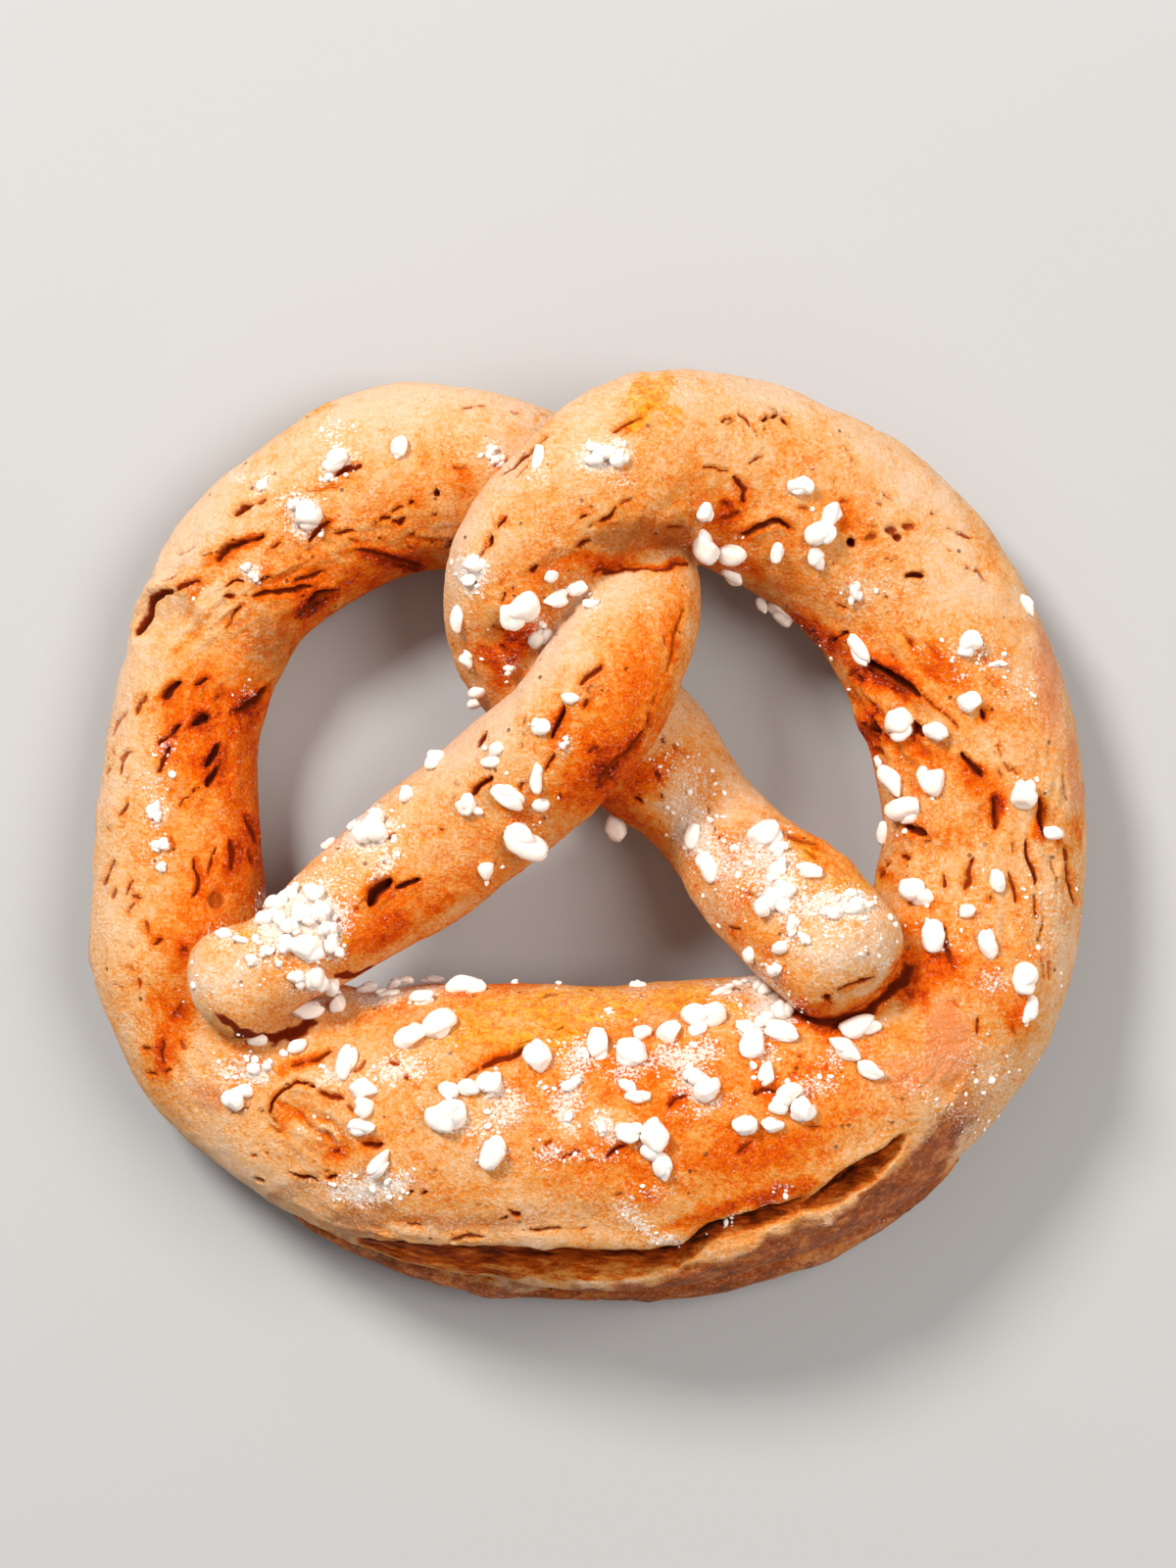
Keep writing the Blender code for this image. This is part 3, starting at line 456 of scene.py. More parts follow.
# Fields of colour: kind, a, b, half sizes, turn in degrees, strength. Gold and pale fields are painted highlights;
# brown fields and some red fields, in creases, on inner sides, by the knobs and beside grains, are partly painted
# shade.
FIELDS = [
    ("gold_highlight", 6.8, 55.3, 1.6, 3.7, -14, 1.4), ("gold_highlight", 10.3, 53.7, 1.6, 1.1, 0, 1.2),
    ("gold_highlight", 9.9, 51.9, 2.0, 0.7, 5, 1), ("gold_highlight", 8.9, 57, 1.6, 1.0, 20, 1.2), ("glaze", 5.9, 51.2, 2.0, 1.0, 30, 0.7),
    ("glaze", 6.4, 47.7, 0.7, 3.7, 0, 0.55), ("glaze", -16, 44.7, 2.7, 3.1, 60, 0.6),
    ("glaze", -9, 50.5, 2.0, 1.2, 0, 0.5), ("gold_highlight", -33.5, 53.2, 2.7, 1.1, 15, 0.6),
    ("gold_highlight", -5.5, 52.7, 2.5, 1.5, 30, 0.5), ("gold_highlight", -42.4, 47.7, 1.2, 1.2, 0, 0.3),
    ("glaze", -37, 41, 3.0, 3.4, 30, 0.6), ("glaze", -31.4, 43.8, 4.2, 1.1, 8, 0.7),
    ("glaze", -38.2, 31.1, 7.4, 3.7, 25, 0.6), ("red_and_shade", -34.7, 28.9, 3.2, 1.8, 30, 0.9),
    ("red_and_shade", -24.6, 34.6, 5.5, 0.9, -8, 0.75), ("glaze", -49.3, 10.2, 5.4, 6.2, 70, 0.6),
    ("glaze", -53, 49, 2.5, 4.2, 20, 0.7), ("red_and_shade", -52.7, 47.1, 1.2, 2.0, 20, 0.4),
    ("red_and_shade", -49.8, 8.9, 2.2, 2.0, 0, 0.6), ("red_and_shade", -45.3, 17.3, 2.7, 2.2, 0, 0.5),
    ("glaze", -44.6, 4, 2.7, 13.6, 88, 0), ("glaze", -44.4, 6.5, 3.2, 8.6, 0, 0.55),
    ("red_and_shade", -42.9, -0.3, 2.0, 4.2, -10, 0.3), ("red_and_shade", -44.6, -2.4, 1.5, 2.7, 0, 0.35),
    ("glaze", -49.3, -9.5, 5.4, 3.7, 20, 0.5), ("glaze", -50.5, 24.3, 4.9, 1.7, 40, 0.7),
    ("glaze", -48.7, 21.3, 4.2, 1.7, 0, 0.6), ("glaze", -54.2, 25.6, 3.0, 2.5, 45, 0.3),
    ("brown", -39.4, 24.3, 4.9, 4.4, 40, 0.55), ("glaze", -51.7, -16.3, 2.0, 1.0, 10, 0.7),
    ("red_and_shade", -52, -22.5, 2.5, 4.2, 20, 0.7), ("red_and_shade", -52.4, -26.5, 1.7, 2.2, 0, 0.45),
    ("salmon", -47.4, -33, 4.9, 2.7, -20, 0.6), ("salmon", -51, -28.6, 1.5, 1.7, 0, 0.4),
    ("glaze", -42.5, -27.4, 3.7, 1.7, 0, 0.5), ("red_and_shade", -36.3, -28.5, 3.0, 1.2, 12, 0.7),
    ("glaze", -35.7, -34.2, 4.2, 3.2, 0, 0.5), ("glaze", -32.6, -39.1, 3.7, 2.7, 0, 0.7),
    ("red_and_shade", -31.4, -39.7, 1.7, 1.2, 0, 0.5), ("glaze", -43.1, -36.7, 2.2, 1.2, 0, 0.3),
    ("gold_highlight", -1.2, -20.9, 13.6, 2.1, 0, 1.3), ("gold_highlight", 11.1, -20.9, 8.6, 1.6, 0, 1),
    ("gold_highlight", -16, -24.3, 8.6, 3.0, 0, 0.45), ("gold_highlight", -4.9, -25.6, 7.4, 3.2, 0, 0.55),
    ("gold_highlight", 19.7, -21.6, 3.7, 1.7, 0, 0.6), ("gold_highlight", -31.4, -13.2, 2.7, 2.7, 45, 0.5),
    ("gold_highlight", -43.1, -12.6, 2.0, 1.2, -20, 0.8), ("gold_highlight", -30.8, -2.2, 4.9, 2.7, 35, 0.35),
    ("gold_highlight", 33.3, -6.5, 4.9, 1.7, 15, 0.6), ("glaze", -27.1, -12, 7.9, 3.2, 33, 0.85),
    ("red_and_shade", -24.6, -11.4, 4.9, 2.0, 33, 0.5), ("glaze", -16, -5.9, 7.4, 2.7, 38, 0.6),
    ("red_and_shade", -17.9, -8.9, 3.2, 1.5, 35, 0.45), ("glaze", 4.9, 16.3, 8.6, 4.2, 50, 0.65),
    ("glaze", 0, 8.9, 7.4, 2.7, 42, 0.7), ("red_and_shade", 3.1, 9.5, 6.2, 1.6, 45, 0.75),
    ("glaze", 11.1, 26.2, 1.7, 6.2, 5, 0.6), ("glaze", 8.4, 18.8, 2.7, 6.2, 25, 0.55),
    ("glaze", -9.9, 3.4, 3.2, 1.5, -20, 0.6), ("glaze", 4.9, 26.2, 6.2, 5.7, 40, 0.65),
    ("glaze", -50.5, 16.3, 6.2, 6.2, 0, 0.55), ("glaze", -55.4, 0.3, 3.7, 7.4, 0, 0.4),
    ("glaze", 50.5, 36, 2.7, 7.4, 30, 0.5), ("glaze", -53, -28, 3.7, 3.7, 0, 0.6),
    ("red_and_shade", -52.7, -27.8, 2.2, 2.0, 0, 0.4), ("glaze", 51.7, -24.3, 4.9, 7.4, 0, 0.35),
    ("glaze", -45.6, 34.8, 7.4, 2.5, 30, 0.6), ("red_and_shade", -44.8, 36, 4.9, 1.2, 28, 0.5),
    ("glaze", 48, -33, 4.9, 3.7, 0, 0.3), ("glaze", 22.2, -40.3, 7.4, 3.0, 8, 0.9),
    ("red_and_shade", -9.2, 23.7, 3.9, 1.7, 40, 1), ("red_and_shade", -12.6, 21.3, 2.7, 1.1, -50, 0.8),
    ("glaze", -7.4, 31.1, 6.2, 5.4, 0, 0.5), ("brown", -4.9, 34.2, 6.2, 1.5, 25, 0.5),
    ("red_and_shade", 0, 34.2, 7.4, 1.2, 14, 0.55), ("brown", 4.9, 37.9, 7.4, 3.0, 8, 0.65),
    ("brown", 11.1, 37.3, 3.0, 2.7, 0, 0.75), ("glaze", 12.3, 43.4, 4.9, 3.2, 0, 0.3),
    ("glaze", 16.6, 41, 3.2, 4.2, 30, 0.8), ("red_and_shade", 17.9, 41, 2.2, 3.2, 30, 0.6),
    ("red_and_shade", 19.7, 33.6, 4.2, 1.2, -35, 0.5), ("glaze", 25.3, 33, 3.2, 4.9, 0, 0.35),
    ("red_and_shade", 27.7, 26.2, 4.4, 1.7, -30, 0.8), ("red_and_shade", 32.3, 39.1, 1.2, 2.7, 10, 0.5),
    ("glaze", 30.2, 34.8, 2.5, 1.2, 0, 0.3), ("red_and_shade", 37.6, 20, 6.2, 2.7, -38, 0.7),
    ("red_and_shade", 35.7, 13.2, 2.0, 4.2, -10, 0.85), ("glaze", 40.7, 10.2, 3.7, 2.5, 0, 0.6),
    ("red_and_shade", 41.9, 10.8, 3.0, 1.5, 0, 0.4), ("glaze", 42.5, 21.3, 4.2, 3.0, 30, 0.6),
    ("glaze", 44.4, 20, 4.9, 1.7, -40, 0.4), ("salmon", 57.9, 20, 2.7, 11.1, 10, 0.8),
    ("salmon", 61.4, 7.7, 1.5, 7.4, 0, 0.7), ("red_and_shade", 61.6, 0.3, 1.0, 3.7, 0, 0.6),
    ("glaze", 54.2, 26.2, 2.5, 1.7, 0, 0.5), ("glaze", 52.4, 23.1, 2.5, 2.5, 0, 0.3),
    ("red_and_shade", 49.3, 6.5, 3.7, 3.0, -40, 0.5), ("glaze", 47.4, 6.5, 5.4, 3.7, -40, 0.6),
    ("red_and_shade", 56.9, 2.2, 1.1, 3.4, 0, 0.7), ("red_and_shade", 51.3, 2.8, 1.0, 2.7, 0, 0.6),
    ("glaze", 59.1, 0.3, 3.2, 3.7, 0, 0.45), ("glaze", 40, -0.9, 3.0, 2.0, 0, 0.6),
    ("red_and_shade", 37.6, -4.4, 2.5, 1.2, 10, 0.6), ("red_and_shade", 40.7, -18.2, 3.0, 5.2, 10, 0.9),
    ("red_and_shade", 44.4, -16.3, 3.0, 3.7, 0, 0.7), ("glaze", 47.4, -16.9, 6.2, 4.9, 0, 0.5),
    ("salmon", 45.6, -25.6, 4.4, 7.4, 15, 0.9), ("salmon", 49.3, -18.2, 2.5, 3.7, 0, 0.4),
    ("glaze", 54.2, -22.5, 3.7, 3.7, 0, 0.7), ("red_and_shade", 53.7, -22.5, 2.0, 2.0, 0, 0.3),
    ("brown", 40, -21.9, 2.5, 1.7, 30, 0.45), ("glaze", 37, -25.6, 4.9, 2.0, 10, 0.6),
    ("glaze", 28.3, -23.1, 3.2, 1.5, -10, 0.7), ("red_and_shade", 29, -23.7, 3.7, 1.7, -10, 0.8),
    ("glaze", 34.5, -28.6, 4.9, 3.2, 0, 0.4), ("salmon", 40, -30.5, 6.2, 4.2, 0, 0.55),
    ("glaze", 4.9, -40.3, 11.1, 4.2, 0, 0.5), ("glaze", 19.7, -41.6, 11.1, 4.9, 8, 0.7),
    ("glaze", 0, -44.7, 8.6, 3.0, -8, 0.5), ("red_and_shade", 6.8, -43.4, 3.0, 2.7, 0, 0.35),
    ("glaze", 11.1, -35.4, 4.9, 3.0, 0, 0.35), ("glaze", 22.2, -31.7, 4.9, 3.2, 0, 0.55),
    ("glaze", 28.3, -39.1, 6.2, 3.2, 25, 0.6), ("red_and_shade", 22.2, -41, 3.0, 1.5, 0, 0.4),
    ("glaze", 6.8, -33.9, 1.7, 2.0, 0, 0.8), ("glaze", -12.3, -28, 5.4, 1.5, 26, 0.7),
    ("red_and_shade", -10.5, -27.8, 4.2, 0.9, 24, 0.5), ("glaze", 0, -40.3, 8.6, 2.2, 5, 0.35),
    ("glaze", 30.2, -42.8, 4.9, 2.5, 35, 0.4), ("red_and_shade", 17.2, -47.1, 8.6, 1.2, 16, 0.8),
    ("red_and_shade", 24.6, -45.5, 4.9, 1.7, 22, 0.75), ("brown", -2.5, -47.1, 17.2, 2.5, 0, 0.35),
    ("brown", -17.2, -48.4, 11.1, 1.5, 4, 0.5), ("brown", -28.3, -47.7, 6.2, 2.5, 15, 0.6),
    ("brown", -37, -44.7, 7.4, 1.7, 25, 0.5), ("red_and_shade", 4.9, 2.8, 6.2, 2.0, -35, 0.45),
    ("red_and_shade", 6.2, 7.7, 5.7, 3.7, 20, 0.75), ("glaze", 11.1, 10.2, 3.7, 2.5, 0, 0.5),
    ("glaze", 30.8, -3.4, 5.4, 3.2, -35, 0.75), ("glaze", 24.6, 1.5, 7.4, 1.2, -30, 0.5),
    ("gold_highlight", 27.1, -2.2, 3.7, 1.7, -35, 0.5), ("glaze", 17.9, -8.9, 3.2, 1.7, 0, 0.5),
    ("glaze", 28.3, -8.3, 3.0, 1.7, 0, 0.5), ("glaze", 22.2, -13.2, 3.7, 1.5, 0, 0.5),
    ("flour", -14.3, 32.6, 3.0, 3.2, 20, 0.95), ("flour", 2.1, 47.7, 3.7, 2.2, 0, 0.95),
    ("flour", 4.3, 44.4, 2.2, 1.2, 0, 0.4), ("flour", -6.2, 45.9, 1.5, 2.2, 0, 0.5),
    ("flour", -31.4, 50.8, 3.0, 1.7, 0, 0.5), ("flour", -31.8, 47.1, 2.5, 2.0, 0, 0.6),
    ("flour", -35.4, 40.1, 2.7, 2.7, 0, 0.7), ("flour", -38.4, 41.6, 1.0, 1.2, 0, 0.5),
    ("flour", -42.1, 32.8, 1.7, 1.7, 0, 0.5), ("flour", -44.4, 45.3, 1.2, 0.9, 0, 0.5),
    ("flour", -54.5, 6.5, 2.5, 3.2, 0, 0.2), ("flour", -54.5, 3, 1.6, 1.6, 0, 0.5),
    ("flour", -53.6, 11.1, 1.7, 2.0, 0, 0.5), ("flour", -48.7, 31.1, 2.0, 1.5, 0, 0.4),
    ("flour", -43.1, 18.2, 1.7, 1.5, 0, 0.35), ("flour", -45.3, 2.8, 1.5, 1.0, 0, 0.3),
    ("flour", -33.3, -10.8, 4.2, 4.9, -20, 0.95), ("flour", -38.8, -10.2, 3.7, 4.2, 0, 0.9),
    ("flour", -27.4, 0.3, 4.2, 3.7, 0, 0.8), ("flour", -25.3, -3.4, 3.7, 1.2, 35, 0.7),
    ("flour", -31.4, -4.6, 3.0, 2.0, 0, 0.4), ("flour", -26.5, -20, 4.9, 1.7, 0, 0.5),
    ("flour", -18.5, -18.8, 6.2, 1.5, 0, 0.35), ("flour", -23.4, -29.3, 4.2, 2.5, 0, 0.7),
    ("flour", -32, -30.5, 3.2, 1.7, 0, 0.6), ("flour", -44.4, -29.3, 3.7, 2.5, 0, 0.5),
    ("flour", -41.3, -29.3, 2.2, 1.7, 0, 0.7), ("flour", -14.8, -36.7, 3.7, 2.7, 0, 0.5),
    ("flour", -10.5, -34.2, 2.7, 3.2, 0, 0.75), ("flour", -25.3, -43.4, 4.9, 2.2, 0, 0.8),
    ("flour", -29, -45, 5.4, 2.0, -10, 0.8), ("flour", -33.3, -37.3, 3.7, 2.0, 0, 0.3),
    ("flour", -2.5, -33, 4.2, 2.7, 0, 0.6), ("flour", -3.1, -36, 1.7, 3.0, 30, 0.7),
    ("flour", -5.5, -40.1, 2.5, 1.7, 0, 0.6), ("flour", 2.5, -36.7, 1.7, 2.5, 0, 0.6),
    ("flour", 0, -40.3, 4.9, 1.2, 0, 0.5), ("flour", 11.1, -28, 3.7, 2.2, 0, 0.8),
    ("flour", 14.8, -26.8, 3.2, 2.0, 0, 0.7), ("flour", 5.5, -29.3, 4.2, 1.7, 0, 0.6),
    ("flour", -1.2, -28, 3.2, 3.0, 0, 0.6), ("flour", 14.8, -34.2, 5.4, 1.2, 10, 0.5),
    ("flour", 12.9, -31.7, 2.7, 2.2, 0, 0.6), ("flour", 4.9, -47.1, 1.7, 2.5, 20, 0.6),
    ("flour", 8, -44.7, 2.2, 1.5, 0, 0.4), ("flour", 7.1, -49, 2.2, 1.2, -40, 0.7),
    ("flour", 9.9, -50.9, 2.5, 1.0, 0, 0.75), ("flour", 16, -49.6, 2.7, 0.6, 14, 0.7),
    ("flour", 19.1, -48.1, 1.7, 0.7, 8, 0.8), ("flour", 23.4, -46.9, 1.5, 0.6, 0, 0.6),
    ("flour", 24.6, -44.7, 1.7, 0.7, 0, 0.6), ("flour", 23.4, -22.5, 4.9, 3.2, 0, 0.8),
    ("flour", 21.6, -18.8, 3.2, 2.7, -40, 0.7), ("flour", 22.2, -27.4, 3.0, 1.5, 0, 0.5),
    ("flour", 28.3, -31.7, 3.7, 2.0, 0, 0.5), ("flour", 30.2, -28, 2.0, 2.0, 0, 0.5),
    ("flour", 22.8, -3.4, 4.2, 4.9, 0, 0.6), ("flour", 24.6, -7.7, 4.9, 3.2, 0, 0.7),
    ("flour", 30.8, -8.9, 5.4, 1.7, 5, 0.85), ("flour", 19.7, -3.4, 3.7, 6.2, -35, 0.4),
    ("flour", 14.8, -0.9, 6.2, 3.7, -50, 0.45), ("flour", 12.3, 6.5, 6.2, 3.7, -50, 0.35),
    ("flour", 17.2, -9.5, 3.7, 3.0, 0, 0.3), ("flour", 47.4, 23.1, 3.2, 2.5, 0, 0.3),
    ("flour", 54.2, 18.2, 2.7, 2.7, 0, 0.3), ("flour", 49.3, 23.1, 1.5, 1.5, 0, 0.3),
    ("flour", 38.8, 31.1, 3.7, 2.5, 0, 0.2), ("flour", 46.8, 20, 1.7, 1.0, 0, 0.4),
    ("flour", 41.9, 23.1, 1.2, 1.2, 0, 0.4), ("flour", 27.1, 24.3, 3.7, 1.7, -30, 0.3),
    ("flour", 30.8, 20, 3.7, 1.2, -40, 0.3), ("flour", 50.5, -18.2, 3.0, 1.7, 0, 0.5),
    ("flour", 51.7, -30.5, 6.2, 4.9, -40, 0.3), ("flour", 58.5, -10.8, 3.7, 8.6, 8, 0.28),
    ("flour", 46.2, -13.2, 2.5, 1.7, 0, 0.3), ("flour", 49.3, -36.7, 6.2, 3.2, -45, 0.25),
    ("flour", 43.1, -33, 6.2, 2.0, -30, 0.3), ("flour", 37, -16.3, 2.7, 0.7, 20, 0.7),
    ("flour", 32, -13.2, 7.4, 4.2, 15, 0.35), ("flour", -46.2, -18.2, 5.4, 3.2, 15, 0.3),
    ("pale_highlight", -59.8, 6.5, 2.5, 29.6, 0, 0.3), ("pale_highlight", 12.3, 2.2, 6.2, 3.7, -50, 0.9),
    ("flour", 14.8, -0.9, 4.9, 3.7, -40, 0.35), ("pale_highlight", 18.5, -5.9, 4.9, 3.2, -50, 0.4),
    ("pale_highlight", 47.4, 13.9, 7.4, 6.2, 0, 0.4), ("pale_highlight", 54.2, 36, 3.7, 9.9, 30, 0.3),
    ("pale_highlight", -49.3, 43.4, 11.1, 7.4, 45, 0.5), ("pale_highlight", -19.7, 54.5, 19.7, 3.2, 0, 0.6),
    ("pale_highlight", 16, 55.1, 14.8, 3.2, 0, 0.55), ("pale_highlight", 37, 47.1, 12.3, 3.2, -35, 0.4),
    ("pale_highlight", -55.4, 36, 4.9, 7.4, 0, 0.4), ("pale_highlight", -17.2, 34.8, 1.7, 7.4, 0, 0.5),
    ("pale_highlight", -2.5, 24.9, 8.6, 3.0, 50, 0.5), ("pale_highlight", -14.8, 11.4, 8.6, 3.0, 45, 0.5),
    ("pale_highlight", 37, 31.1, 11.1, 7.4, 0, 0.3), ("pale_highlight", 51.7, -5.9, 7.4, 14.8, 0, 0.25),
    ("pale_highlight", 30.8, -13.9, 6.9, 4.4, 15, 0.8), ("pale_highlight", -45.6, -18.2, 5.7, 3.4, 10, 0.7),
]
